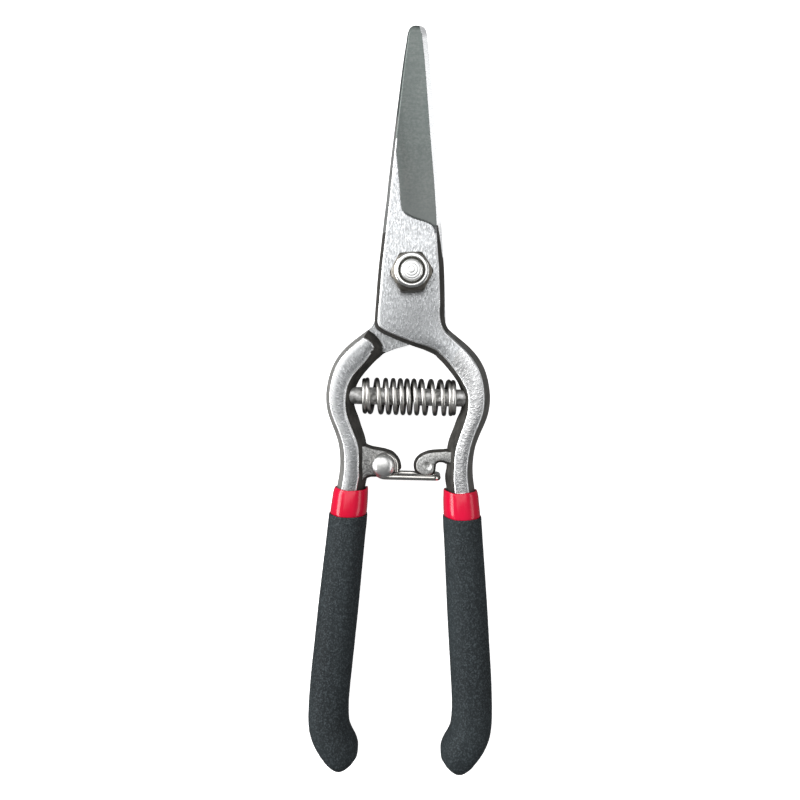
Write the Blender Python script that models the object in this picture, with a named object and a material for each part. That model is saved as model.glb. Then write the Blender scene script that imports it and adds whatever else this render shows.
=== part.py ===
"""Floral snips: two drop-forged halves crossing at a bolt, a compression spring on two
pegs, a wire bail latch and two dipped grips.

Frame: metres, +Z up. The origin is the centre of the bolt head's flat underside, on the
pivot axis. +Y runs to the blade tips, +X to the right handle, +Z to the nut. The snips lie
closed and latched on their back, on the bolt head and on both grips.
"""

import math

import bmesh
import bpy
from mathutils import Matrix, Vector

MM = 0.001

# ---- driving dimensions, millimetres ---------------------------------------------------
LAP_Z = 6.5            # height of the plane in which the two halves meet
LAP_GAP = 0.06         # each half stays this far off that plane
PLATE_T = 3.5          # thickness of each half at the pivot
EDGE_LAND = 0.12       # upright land along the rim of blades and plates
BOLT_R = 3.0           # M6 pivot bolt
BORE_R = 3.08
HEAD_AF, HEAD_H = 10.0, 2.85
NUT_AF, NUT_HEX_H, NUT_H = 10.0, 5.1, 7.4
NUT_TURN = math.radians(4)
PEG_R, PEG_BORE_R = 2.3, 2.36
SPRING_Y = -32.5       # axis of the spring and its pegs, along X in the lap plane
WIRE_R = 0.6
SPRING_R = 4.4         # mean coil radius
SPRING_TURNS = 12.0
SPRING_HALF = 12.0     # from the middle to the last coil's centre line
RIVET = (-6.15, -50.65)
RIVET_R, RIVET_BORE_R = 1.35, 1.43
LUG_HALF = 2.4
BAIL_R = 0.75          # bail wire radius
BAIL_Z = 3.35          # bail legs, above and below the lap plane
EYE_R = 2.85
EYE_FRONT, EYE_REAR = (-5.6, -50.85), (-5.6, -50.4)
BAIL_END_X = 8.4
GRIP_HALF_Z = 6.5      # grips reach down to the bolt head's level
COLLAR_TOP, COVER_TOP, GRIP_END = -56.9, -64.0, -132.62

for old in list(bpy.data.objects):
    bpy.data.objects.remove(old, do_unlink=True)


# ---- helpers ---------------------------------------------------------------------------
def material(name, colour, roughness, metallic):
    made = bpy.data.materials.new(name)
    made.use_nodes = True
    shader = made.node_tree.nodes["Principled BSDF"]
    shader.inputs["Base Color"].default_value = (*colour, 1.0)
    shader.inputs["Roughness"].default_value = roughness
    shader.inputs["Metallic"].default_value = metallic
    made.diffuse_color = (*colour, 1.0)
    return made


def axis_empty(name, x, y, z):
    empty = bpy.data.objects.new(name, None)
    empty.location = Vector((x, y, z)) * MM
    empty.empty_display_size = 0.01
    bpy.context.scene.collection.objects.link(empty)
    return empty


def mesh_object(name, bm, look, parent):
    """Turns a bmesh in millimetres into an object whose origin is its parent's."""
    bmesh.ops.recalc_face_normals(bm, faces=bm.faces[:])
    if bm.calc_volume(signed=True) < 0:
        bmesh.ops.reverse_faces(bm, faces=bm.faces[:])
    bmesh.ops.scale(bm, vec=(MM, MM, MM), verts=bm.verts[:])
    origin = parent.location if parent else Vector((0, 0, 0))
    bmesh.ops.translate(bm, vec=-origin, verts=bm.verts[:])
    mesh = bpy.data.meshes.new(name)
    bm.to_mesh(mesh)
    bm.free()
    mesh.shade_smooth()
    mesh.set_sharp_from_angle(angle=math.radians(32))
    if look:
        mesh.materials.append(look)
    made = bpy.data.objects.new(name, mesh)
    made.parent = parent
    bpy.context.scene.collection.objects.link(made)
    return made


def loft(loops, ring=False):
    """Skins equal loops of points one after the other; ring joins the last to the first."""
    bm = bmesh.new()
    made = [[bm.verts.new(p) for p in loop] for loop in loops]
    pairs = list(zip(made, made[1:]))
    if ring:
        pairs.append((made[-1], made[0]))
    for low, high in pairs:
        for i in range(len(low)):
            j = (i + 1) % len(low)
            bm.faces.new((low[i], low[j], high[j], high[i]))
    if not ring:
        bm.faces.new(made[0][::-1])
        bm.faces.new(made[-1])
    return bm


def circle(r, z, n, turn=0.0, across_flats=None):
    """A ring of n points: a circle, or the part of a hexagon that lies inside it."""
    points = []
    for i in range(n):
        a = 2 * math.pi * i / n
        reach = r
        if across_flats:
            side = (a % (math.pi / 3)) - math.pi / 6
            reach = min(r, across_flats / 2 / math.cos(side))
        points.append(Vector((reach * math.cos(a + turn), reach * math.sin(a + turn), z)))
    return points


def turned(profile, n, matrix=None):
    """A solid of revolution about Z from (radius, height) points, flat at both ends."""
    bm = loft([circle(r, z, n) for r, z in profile])
    if matrix:
        bmesh.ops.transform(bm, matrix=matrix, verts=bm.verts[:])
    return bm


def boolean(target, tool, operation):
    tool.hide_render = True
    tool.display_type = "WIRE"
    step = target.modifiers.new(tool.name, "BOOLEAN")
    step.operation = operation
    step.solver = "EXACT"
    step.object = tool


def along(table, y):
    """Reads a two-column table of (y, value), y falling, with a smooth curve between."""
    if y >= table[0][0]:
        return table[0][1]
    for i in range(len(table) - 1):
        (y0, v0), (y1, v1) = table[i], table[i + 1]
        if y1 <= y:
            before = table[max(i - 1, 0)]
            after = table[min(i + 2, len(table) - 1)]
            s0 = (v1 - before[1]) / (y1 - before[0])
            s1 = (after[1] - v0) / (after[0] - y0)
            h, t = y1 - y0, (y - y0) / (y1 - y0)
            return (
                (2 * t**3 - 3 * t**2 + 1) * v0
                + (t**3 - 2 * t**2 + t) * h * s0
                + (-2 * t**3 + 3 * t**2) * v1
                + (t**3 - t**2) * h * s1
            )
    return table[-1][1]


# ---- materials -------------------------------------------------------------------------
STEEL = material("forged_steel", (0.62, 0.63, 0.64), 0.28, 1.0)
STEEL_REAR = material("forged_steel_rear", (0.60, 0.61, 0.62), 0.30, 1.0)
PLATED = material("plated_hardware", (0.74, 0.74, 0.73), 0.18, 1.0)
PLATED_BOLT = material("plated_bolt", (0.78, 0.78, 0.77), 0.2, 1.0)
NYLON = material("nylon", (0.06, 0.06, 0.055), 0.5, 0.0)
SPRING_WIRE = material("spring_wire", (0.55, 0.55, 0.53), 0.25, 1.0)
PEG = material("peg_steel", (0.52, 0.52, 0.5), 0.35, 1.0)
RIVET_STEEL = material("rivet_steel", (0.72, 0.72, 0.7), 0.2, 1.0)
BAIL_WIRE = material("bail_wire", (0.66, 0.65, 0.62), 0.2, 1.0)
RED_PVC = material("red_pvc", (0.7, 0.01, 0.04), 0.22, 0.0)
BLACK_PVC = material("black_pvc", (0.035, 0.038, 0.042), 0.6, 0.0)

# ---- joint axes ------------------------------------------------------------------------
PIVOT = axis_empty("handle_pivot_axis", 0, 0, LAP_Z)
LATCH = axis_empty("latch_swing_axis", RIVET[0], RIVET[1], LAP_Z)

# ---- the forging -----------------------------------------------------------------------
# One half is skinned over stations that run from the blade's tip, across the pivot plate
# and down the handle. Each station is a line from the spine side L to the outer side R,
# with the width of its sloping flanks on the outside face (aL, aR) and on the lap side
# (bL, bR), the heights hL and hR of the outside face, and the depth hb past the lap plane.
BLADE_HALF_WIDTH = [
    (66.7, 0.6), (66.5, 1.35), (66.0, 2.05), (65.0, 2.5), (62.0, 2.95), (58.0, 3.45),
    (52.0, 4.1), (45.0, 4.8), (38.0, 5.5), (32.0, 6.07), (26.0, 6.62), (20.0, 7.1),
    (16.5, 7.45), (14.4, 7.65), (12.6, 7.82), (10.6, 8.0),
]  # fmt: skip
SPINE_HEIGHT = [(66.7, 0.9), (66.0, 1.35), (62.0, 1.65), (45.0, 2.15), (30.0, 2.75), (20.0, 3.25), (14.4, 3.5), (10.6, 3.5)]
BEVEL_HEIGHT = [(66.7, 0.5), (66.0, 0.8), (62.0, 1.0), (36.0, 1.0), (26.0, 1.2), (20.0, 1.55), (16.5, 1.9), (14.4, 2.4), (12.6, 3.5)]
BEVEL_WIDTH = [(66.7, 0.35), (66.0, 1.0), (64.0, 1.4), (36.0, 1.47), (26.0, 1.25), (20.0, 1.2), (14.4, 1.5), (12.6, 1.65), (10.6, 1.75)]
SPINE_FLANK = [(66.7, 0.25), (65.0, 0.55), (50.0, 0.8), (20.0, 0.95), (10.6, 1.0)]

# Lx, Ly, Rx, Ry, aL, aR: the plate, fanning round its lower left corner.
PLATE = [
    (-8.35, 6.5, 8.2, 8.0, 1.0, 1.78),
    (-8.75, 2.0, 8.45, 5.0, 1.02, 1.78),
    (-9.0, -2.0, 8.7, 2.5, 1.04, 1.78),
    (-9.2, -6.0, 8.82, 0.2, 1.04, 1.78),
    (-9.4, -10.0, 8.9, -2.0, 1.04, 1.75),
    (-9.5, -12.4, 8.95, -4.0, 1.04, 1.7),
    (-9.42, -13.6, 9.0, -5.6, 1.0, 1.65),
    (-8.9, -14.55, 9.05, -7.2, 1.0, 1.6),
    (-7.6, -15.55, 9.08, -8.8, 1.1, 1.6),
    (-5.0, -16.7, 9.12, -10.3, 1.15, 1.55),
    (-2.0, -17.85, 9.3, -11.7, 1.15, 1.5),
    (1.0, -18.95, 9.6, -12.8, 1.15, 1.5),
    (4.0, -19.9, 9.95, -13.55, 1.15, 1.5),
    (7.0, -21.3, 10.45, -14.25, 1.15, 1.5),
]  # fmt: skip
# The same with bL, bR, the outside height h and the depth hb: the step and the handle.
HANDLE = [
    (7.6, -21.9, 10.95, -14.65, 1.15, 1.5, 0.5, 0.3, 3.5, 0.3),
    (8.2, -22.45, 11.5, -15.1, 1.15, 1.55, 1.1, 0.6, 3.5, 1.2),
    (8.6, -22.8, 11.9, -15.4, 1.2, 1.6, 2.0, 0.95, 3.5, 2.7),
    (8.9, -23.1, 12.2, -15.65, 1.2, 1.6, 2.5, 1.1, 3.52, 3.5),
    (10.0, -24.3, 13.6, -16.75, 1.2, 1.7, 2.2, 1.15, 3.6, 3.6),
    (11.2, -25.7, 15.4, -18.2, 1.15, 1.8, 2.0, 1.2, 3.72, 3.72),
    (12.3, -27.1, 17.3, -20.05, 1.05, 1.9, 2.0, 1.2, 3.85, 3.85),
    (13.15, -28.4, 19.0, -22.2, 1.05, 2.0, 2.15, 1.2, 3.98, 3.98),
    (13.75, -29.7, 20.3, -24.6, 1.15, 2.0, 2.25, 1.2, 4.1, 4.1),
    (14.2, -30.9, 21.15, -27.1, 1.3, 2.0, 2.2, 1.2, 4.2, 4.2),
    (14.45, -32.1, 21.7, -29.7, 1.35, 2.0, 2.1, 1.2, 4.28, 4.28),
    (14.5, -33.4, 21.95, -32.4, 1.4, 2.0, 2.1, 1.2, 4.35, 4.35),
    (14.3, -34.8, 21.8, -35.0, 1.55, 1.95, 2.3, 1.2, 4.4, 4.4),
    (13.9, -36.2, 21.3, -37.4, 1.8, 1.9, 2.55, 1.25, 4.43, 4.43),
    (13.3, -37.6, 20.5, -39.6, 2.05, 1.85, 2.8, 1.3, 4.46, 4.46),
    (12.75, -39.1, 19.65, -41.6, 2.15, 1.8, 2.75, 1.3, 4.5, 4.5),
    (12.2, -40.7, 18.95, -43.4, 2.15, 1.75, 2.6, 1.35, 4.52, 4.52),
    (11.55, -42.4, 18.4, -45.1, 2.25, 1.7, 2.5, 1.4, 4.55, 4.55),
    (11.0, -44.2, 18.05, -46.8, 2.3, 1.7, 2.35, 1.45, 4.58, 4.58),
    (10.7, -46.2, 17.85, -48.6, 2.2, 1.8, 2.2, 1.5, 4.6, 4.6),
    (10.65, -48.6, 17.75, -50.5, 2.0, 1.85, 2.1, 1.5, 4.6, 4.6),
    (10.7, -51.0, 17.82, -52.4, 1.9, 1.9, 2.0, 1.5, 4.6, 4.6),
    (10.35, -53.4, 18.0, -54.2, 2.2, 1.95, 2.2, 1.5, 4.6, 4.6),
    (10.75, -56.2, 18.35, -56.4, 2.1, 1.95, 2.2, 1.5, 4.6, 4.6),
    (11.05, -60.0, 18.7, -60.0, 2.0, 1.9, 2.1, 1.8, 4.6, 4.6),
    (11.45, -65.0, 19.05, -65.0, 2.0, 1.9, 2.0, 1.9, 4.6, 4.6),
    (11.9, -72.0, 19.75, -72.0, 2.0, 1.9, 2.0, 1.9, 4.6, 4.6),
    (12.6, -82.0, 20.6, -82.0, 2.0, 2.0, 2.0, 2.0, 4.6, 4.6),
    (13.4, -92.0, 21.5, -92.0, 2.0, 2.0, 2.0, 2.0, 4.6, 4.6),
    (14.1, -102.0, 22.3, -102.0, 2.0, 2.0, 2.0, 2.0, 4.6, 4.6),
    (14.9, -112.0, 22.9, -112.0, 2.0, 2.0, 2.0, 2.0, 4.6, 4.6),
    (14.9, -119.0, 22.7, -119.0, 2.0, 2.0, 2.0, 2.0, 4.5, 4.5),
    (14.6, -123.0, 21.4, -123.0, 1.9, 1.9, 1.9, 1.9, 4.2, 4.2),
    (15.4, -125.0, 20.2, -125.0, 1.6, 1.6, 1.6, 1.6, 3.4, 3.4),
]  # fmt: skip


def forging_stations():
    """Six points for each station, from the tip to the end of the tang."""
    loops = []

    def add(L, R, aL, aR, bL, bR, hL, hR, parting, bottom):
        across = (R - L).normalized()
        loops.append(
            [
                Vector((*L, LAP_Z + parting)),
                Vector((*(L + across * aL), LAP_Z + hL)),
                Vector((*(R - across * aR), LAP_Z + hR)),
                Vector((*R, LAP_Z + parting)),
                Vector((*(R - across * bR), LAP_Z + bottom)),
                Vector((*(L + across * bL), LAP_Z + bottom)),
            ]
        )

    land = LAP_GAP + EDGE_LAND
    for y, half in BLADE_HALF_WIDTH:
        add(
            Vector((-half, y)), Vector((half, y)),
            along(SPINE_FLANK, y), along(BEVEL_WIDTH, y), 0, 0,
            along(SPINE_HEIGHT, y), along(BEVEL_HEIGHT, y), land, LAP_GAP,
        )  # fmt: skip
    for lx, ly, rx, ry, a_l, a_r in PLATE:
        add(Vector((lx, ly)), Vector((rx, ry)), a_l, a_r, 0, 0, PLATE_T, PLATE_T, land, LAP_GAP)
    for lx, ly, rx, ry, a_l, a_r, b_l, b_r, h, depth in HANDLE:
        add(Vector((lx, ly)), Vector((rx, ry)), a_l, a_r, b_l, b_r, h, h, 0.0, -depth)
    return loops


def other_half(points):
    """Half a turn about the long axis in the lap plane gives the opposite forging."""
    return [Vector((-p.x, p.y, 2 * LAP_Z - p.z)) for p in points]


def drafted_plate(outline, half, draft):
    """A flat lug split at the lap plane, narrower by the draft at both faces."""
    n = len(outline)
    area = sum(
        outline[i][0] * outline[(i + 1) % n][1] - outline[(i + 1) % n][0] * outline[i][1]
        for i in range(n)
    )
    turn = 1.0 if area > 0 else -1.0
    inner = []
    for i in range(n):
        before, here, after = (Vector(outline[(i + k) % n]) for k in (-1, 0, 1))
        one = (here - before).normalized()
        two = (after - here).normalized()
        normal = (Vector((-one.y, one.x)) + Vector((-two.y, two.x))).normalized() * turn
        inner.append(here + normal * draft)
    return loft(
        [
            [Vector((*p, LAP_Z - half)) for p in inner],
            [Vector((*p, LAP_Z)) for p in outline],
            [Vector((*p, LAP_Z + half)) for p in inner],
        ]
    )


LATCH_LUG = [
    (-13.2, -46.0), (-11.2, -45.2), (-9.4, -45.75), (-7.4, -46.1), (-5.6, -46.4),
    (-4.0, -47.1), (-2.6, -48.1), (-1.75, -49.4), (-1.35, -50.6), (-1.45, -51.7),
    (-2.3, -52.35), (-3.7, -53.2), (-5.6, -53.9), (-8.0, -54.1), (-10.0, -54.3),
    (-11.4, -55.3), (-13.2, -55.0),
]  # fmt: skip
KEEPER_NOSE = [
    (13.2, -46.6), (10.6, -46.15), (8.6, -46.25), (6.6, -46.45), (4.9, -46.95),
    (3.4, -47.75), (2.4, -48.8), (1.92, -50.2), (2.0, -51.5), (2.6, -52.65),
    (3.7, -53.4), (5.1, -53.75), (6.4, -53.65), (7.2, -53.15), (7.75, -52.3),
    (7.9, -51.2), (8.0, -50.35), (8.7, -49.85), (9.8, -49.85), (10.6, -50.1),
    (13.2, -50.1),
]  # fmt: skip

stations = forging_stations()
front_half = mesh_object("front_half", loft(stations), STEEL, PIVOT)
rear_half = mesh_object("rear_half", loft([other_half(s) for s in stations]), STEEL_REAR, None)

keeper = mesh_object("keeper_nose_shape", drafted_plate(KEEPER_NOSE, LUG_HALF, 0.6), None, PIVOT)
latch_lug = mesh_object("latch_lug_shape", drafted_plate(LATCH_LUG, LUG_HALF, 0.65), None, None)
boolean(front_half, keeper, "UNION")
boolean(rear_half, latch_lug, "UNION")

bolt_bore = mesh_object("bolt_bore_shape", turned([(BORE_R, -3.0), (BORE_R, 16.0)], 32), None, None)
boolean(front_half, bolt_bore, "DIFFERENCE")
boolean(rear_half, bolt_bore, "DIFFERENCE")


def along_x(side):
    """Turns +Z towards the middle of the snips, on the spring's axis."""
    return Matrix.Translation((0, SPRING_Y, LAP_Z)) @ Matrix.Rotation(
        math.radians(90 if side < 0 else -90), 4, "Y"
    )


PEG_ROOT = 17.2
for side, half_object, parent, name in (
    (-1, rear_half, None, "left"),
    (1, front_half, PIVOT, "right"),
):
    bore = mesh_object(
        f"peg_bore_{name}_shape",
        turned([(PEG_BORE_R, -PEG_ROOT - 0.1), (PEG_BORE_R, -12.5)], 20, along_x(side)),
        None,
        parent,
    )
    boolean(half_object, bore, "DIFFERENCE")

rivet_bore = mesh_object(
    "rivet_bore_shape",
    turned([(RIVET_BORE_R, -4.0), (RIVET_BORE_R, 4.0)], 24, Matrix.Translation((*RIVET, LAP_Z))),
    None,
    None,
)
boolean(rear_half, rivet_bore, "DIFFERENCE")

# ---- pivot hardware --------------------------------------------------------------------
N = 24
BOLT_TOP = LAP_Z + 11.0
pivot_bolt = loft(
    [
        circle(4.95, 0.0, N, 0.0, HEAD_AF),
        circle(5.9, 0.45, N, 0.0, HEAD_AF),
        circle(5.9, HEAD_H - 0.3, N, 0.0, HEAD_AF),
        circle(5.3, HEAD_H, N, 0.0, HEAD_AF),
        circle(BOLT_R, HEAD_H, N),
        circle(BOLT_R, BOLT_TOP, N),
        circle(BOLT_R * 0.88, BOLT_TOP + 0.45, N),
        circle(BOLT_R * 0.6, BOLT_TOP + 0.75, N),
        circle(BOLT_R * 0.25, BOLT_TOP + 0.9, N),
    ]
)
mesh_object("pivot_bolt", pivot_bolt, PLATED_BOLT, None)

nut_z = LAP_Z + PLATE_T + 0.1
pivot_nut = loft(
    [
        circle(BORE_R, nut_z, N, NUT_TURN),
        circle(5.1, nut_z, N, NUT_TURN, NUT_AF),
        circle(5.9, nut_z + 0.45, N, NUT_TURN, NUT_AF),
        circle(5.9, nut_z + NUT_HEX_H - 0.5, N, NUT_TURN, NUT_AF),
        circle(4.9, nut_z + NUT_HEX_H, N, NUT_TURN),
        circle(4.5, nut_z + NUT_HEX_H + 0.15, N, NUT_TURN),
        circle(4.5, nut_z + NUT_H - 0.55, N, NUT_TURN),
        circle(4.2, nut_z + NUT_H - 0.1, N, NUT_TURN),
        circle(3.95, nut_z + NUT_H, N, NUT_TURN),
        circle(3.75, nut_z + NUT_H - 0.1, N, NUT_TURN),
        circle(3.75, nut_z + NUT_HEX_H, N, NUT_TURN),
        circle(BORE_R, nut_z + NUT_HEX_H, N, NUT_TURN),
    ],
    ring=True,
)
mesh_object("pivot_nut", pivot_nut, PLATED, None)

nut_insert = loft(
    [
        circle(3.12, nut_z + NUT_HEX_H + 0.12, N, NUT_TURN),
        circle(3.65, nut_z + NUT_HEX_H + 0.12, N, NUT_TURN),
        circle(3.65, nut_z + NUT_H - 0.45, N, NUT_TURN),
        circle(3.12, nut_z + NUT_H - 0.3, N, NUT_TURN),
    ],
    ring=True,
)
mesh_object("nut_insert", nut_insert, NYLON, None)

# ---- spring and pegs -------------------------------------------------------------------
for side, parent, name, reach in ((-1, None, "left", -0.6), (1, PIVOT, "right", 1.4)):
    tip = -abs(reach)
    mesh_object(
        f"spring_peg_{name}",
        turned(
            [
                (PEG_R, -PEG_ROOT),
                (PEG_R, tip - 0.7),
                (PEG_R * 0.92, tip - 0.3),
                (PEG_R * 0.7, tip - 0.05),
                (PEG_R * 0.35, tip),
            ],
            20,
            along_x(side),
        ),
        PEG,
        parent,
    )


def spring_points(per_turn):
    """The coil's centre line: closed end coils, an open middle, ends a little smaller."""
    total = int(SPRING_TURNS * per_turn)
    points = []
    for i in range(total + 1):
        turn = i / per_turn
        from_middle = (turn - SPRING_TURNS / 2) / (SPRING_TURNS / 2)
        # The pitch falls to the wire's own thickness over the last turn at each end.
        closed = 0.58 * SPRING_TURNS / 2 / SPRING_HALF
        x = SPRING_HALF * (from_middle + (closed - 0.36) * (from_middle**9 - from_middle) * 0.55)
        radius = SPRING_R - 0.22 * abs(from_middle) ** 7
        angle = 2 * math.pi * turn + math.pi / 2
        points.append(
            Vector(
                (
                    x + 0.2,
                    SPRING_Y + radius * math.cos(angle),
                    LAP_Z + radius * math.sin(angle),
                )
            )
        )
    return points


def wire(name, points, radius, look, parent, sides):
    curve = bpy.data.curves.new(name, "CURVE")
    curve.dimensions = "3D"
    curve.bevel_depth = radius * MM
    curve.bevel_resolution = sides
    curve.use_fill_caps = True
    curve.twist_mode = "MINIMUM"
    spline = curve.splines.new("POLY")
    spline.points.add(len(points) - 1)
    origin = parent.location if parent else Vector((0, 0, 0))
    for point, p in zip(spline.points, points):
        point.co = (*(p * MM - origin), 1.0)
    curve.materials.append(look)
    made = bpy.data.objects.new(name, curve)
    made.parent = parent
    bpy.context.scene.collection.objects.link(made)
    return made


wire("return_spring", spring_points(12), WIRE_R, SPRING_WIRE, None, 1)

# ---- latch -----------------------------------------------------------------------------
UNDER = BAIL_Z + BAIL_R + 0.15
latch_rivet = turned(
    [
        (1.2, LAP_Z - UNDER - 1.95),
        (2.5, LAP_Z - UNDER - 1.45),
        (3.0, LAP_Z - UNDER - 0.7),
        (3.0, LAP_Z - UNDER),
        (RIVET_R, LAP_Z - UNDER),
        (RIVET_R, LAP_Z + UNDER),
        (3.1, LAP_Z + UNDER),
        (3.1, LAP_Z + UNDER + 0.45),
        (2.8, LAP_Z + UNDER + 1.15),
        (2.1, LAP_Z + UNDER + 1.75),
        (1.1, LAP_Z + UNDER + 2.1),
        (0.35, LAP_Z + UNDER + 2.2),
    ],
    24,
    Matrix.Translation((*RIVET, 0)),
)
mesh_object("latch_rivet", latch_rivet, RIVET_STEEL, None)


def eye(centre, z, clockwise):
    """The wire round the rivet, from its cut end to where the straight leg starts."""
    points = []
    for i in range(21):
        a = math.radians(-14 + 284 * i / 20)
        points.append(
            Vector((centre[0] + EYE_R * math.cos(a), centre[1] + EYE_R * math.sin(a), z))
        )
    return points[::-1] if clockwise else points


def bail_points():
    front_z, rear_z = LAP_Z + BAIL_Z, LAP_Z - BAIL_Z
    front_y, rear_y = EYE_FRONT[1] - EYE_R, EYE_REAR[1] - EYE_R
    bend = 1.3
    points = eye(EYE_FRONT, front_z, False)
    for i in range(7):
        a = math.pi / 2 * i / 6
        points.append(
            Vector((BAIL_END_X - bend + bend * math.sin(a), front_y, front_z - bend + bend * math.cos(a)))
        )
    for i in range(7):
        a = math.pi / 2 * i / 6
        points.append(
            Vector((BAIL_END_X - bend + bend * math.cos(a), rear_y, rear_z + bend - bend * math.sin(a)))
        )
    return points + eye(EYE_REAR, rear_z, True)


wire("latch_bail", bail_points(), BAIL_R, BAIL_WIRE, LATCH, 2)

# ---- grips -----------------------------------------------------------------------------
OUTER_X = [
    (-56.9, 18.95), (-60.0, 19.6), (-65.0, 20.4), (-70.0, 20.85), (-80.0, 21.8),
    (-90.0, 22.7), (-100.0, 23.5), (-110.0, 24.25), (-118.0, 24.5), (-122.0, 24.1),
    (-125.0, 23.1), (-128.0, 21.35), (-130.0, 19.8), (-131.4, 18.4), (-132.3, 17.1),
    (-132.62, 16.4),
]  # fmt: skip
INNER_X = [
    (-56.9, 10.1), (-60.0, 10.05), (-65.0, 10.1), (-70.0, 10.5), (-80.0, 11.2),
    (-90.0, 11.9), (-100.0, 12.7), (-110.0, 13.5), (-116.0, 13.75), (-120.0, 13.4),
    (-123.0, 12.0), (-126.0, 10.97), (-128.0, 11.1), (-130.0, 12.24), (-131.4, 13.6),
    (-132.3, 14.9), (-132.62, 15.6),
]  # fmt: skip
HALF_Z = [
    (-56.9, 5.6), (-64.0, 6.2), (-64.01, 6.5), (-120.0, 6.5), (-126.0, 6.4),
    (-129.0, 5.85), (-130.5, 5.05), (-131.6, 3.9), (-132.3, 2.5), (-132.62, 1.3),
]  # fmt: skip
SECTION = 16


def grip_loop(side, y, less, half_z, end_shift=0.0):
    """One rounded section of a grip at height y, smaller by less all round."""
    outer, inner = along(OUTER_X, y) - less, along(INNER_X, y) + less
    middle, half = (outer + inner) / 2, max((outer - inner) / 2, 0.3)
    points = []
    top = math.sin(math.pi / 2 - math.pi / SECTION) ** 0.8
    for i in range(SECTION):
        a = 2 * math.pi * (i + 0.5) / SECTION
        c, s = math.cos(a), math.sin(a)
        x = middle + half * math.copysign(abs(c) ** 0.8, c) / top
        z = half_z * math.copysign(abs(s) ** 0.8, s) / top
        points.append(Vector((side * x, y + end_shift, LAP_Z + z)))
    return points


def sleeve(side, inside, outside):
    """Skins a sleeve closed at the bottom: up its inside, over the rim, down its outside."""
    return loft(
        [grip_loop(side, *s) for s in reversed(inside)] + [grip_loop(side, *s) for s in outside]
    )


COVER_YS = [-66.0, -72.0, -80.0, -88.0, -96.0, -104.0, -112.0, -118.0, -122.0, -125.0, -127.5]
WALL, GAP = 0.45, 0.1
cover_outside = (
    [(COVER_TOP, 0.1, 6.4)]
    + [(y, 0.0, along(HALF_Z, y)) for y in [-64.8] + COVER_YS[1:] + [-129.6, -131.0, -132.0, -132.45, GRIP_END]]
)
cover_inside = [(COVER_TOP, WALL - 0.05, 6.05)] + [
    (y, WALL, along(HALF_Z, y) - WALL) for y in COVER_YS + [-129.2, -130.5, -131.4]
]
base_outside = (
    [(COLLAR_TOP, 0.25, 5.35), (-57.3, 0.0, 5.65), (-60.0, 0.05, 5.85), (-63.85, 0.2, 5.95)]
    + [(COVER_TOP - 0.1, WALL + GAP + 0.02, 5.9)]
    + [(y, WALL + GAP, along(HALF_Z, y) - WALL - GAP) for y in COVER_YS[1:] + [-128.8, -130.0, -130.7]]
)
BASE_WALL = 0.62
base_inside = [(COLLAR_TOP, 0.42, 5.15), (-60.0, BASE_WALL, 5.2), (-64.0, 1.05, 5.2)] + [
    (y, WALL + GAP + BASE_WALL, along(HALF_Z, y) - WALL - GAP - BASE_WALL)
    for y in COVER_YS[1:-1] + [-126.5]
]

for side, parent, name in ((-1, None, "left"), (1, PIVOT, "right")):
    mesh_object(f"grip_base_{name}", sleeve(side, base_inside, base_outside), RED_PVC, parent)
    mesh_object(f"grip_cover_{name}", sleeve(side, cover_inside, cover_outside), BLACK_PVC, parent)
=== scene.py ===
import math

import bmesh
import bpy
import numpy as np
from mathutils import Matrix, Vector


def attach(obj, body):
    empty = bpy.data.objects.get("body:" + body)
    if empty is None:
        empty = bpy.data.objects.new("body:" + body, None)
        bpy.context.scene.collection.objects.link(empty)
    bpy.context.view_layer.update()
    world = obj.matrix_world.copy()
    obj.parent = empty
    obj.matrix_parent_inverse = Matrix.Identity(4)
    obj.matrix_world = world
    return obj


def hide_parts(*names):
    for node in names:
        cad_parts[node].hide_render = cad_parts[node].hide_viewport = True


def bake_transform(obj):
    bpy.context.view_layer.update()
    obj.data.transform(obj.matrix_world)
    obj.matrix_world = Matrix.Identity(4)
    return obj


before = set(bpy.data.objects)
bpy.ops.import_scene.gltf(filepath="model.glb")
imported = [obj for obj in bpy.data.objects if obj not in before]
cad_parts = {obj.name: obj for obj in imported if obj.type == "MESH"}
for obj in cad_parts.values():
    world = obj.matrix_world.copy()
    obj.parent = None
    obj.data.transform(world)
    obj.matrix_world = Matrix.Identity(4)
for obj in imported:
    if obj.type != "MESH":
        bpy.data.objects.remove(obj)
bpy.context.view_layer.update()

MM = 0.001
LAP = 6.5
GAP = 0.06
LAND = 0.12
PLATE_T = 3.5
SCENE = bpy.context.scene

# =========================================================================== materials


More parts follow.
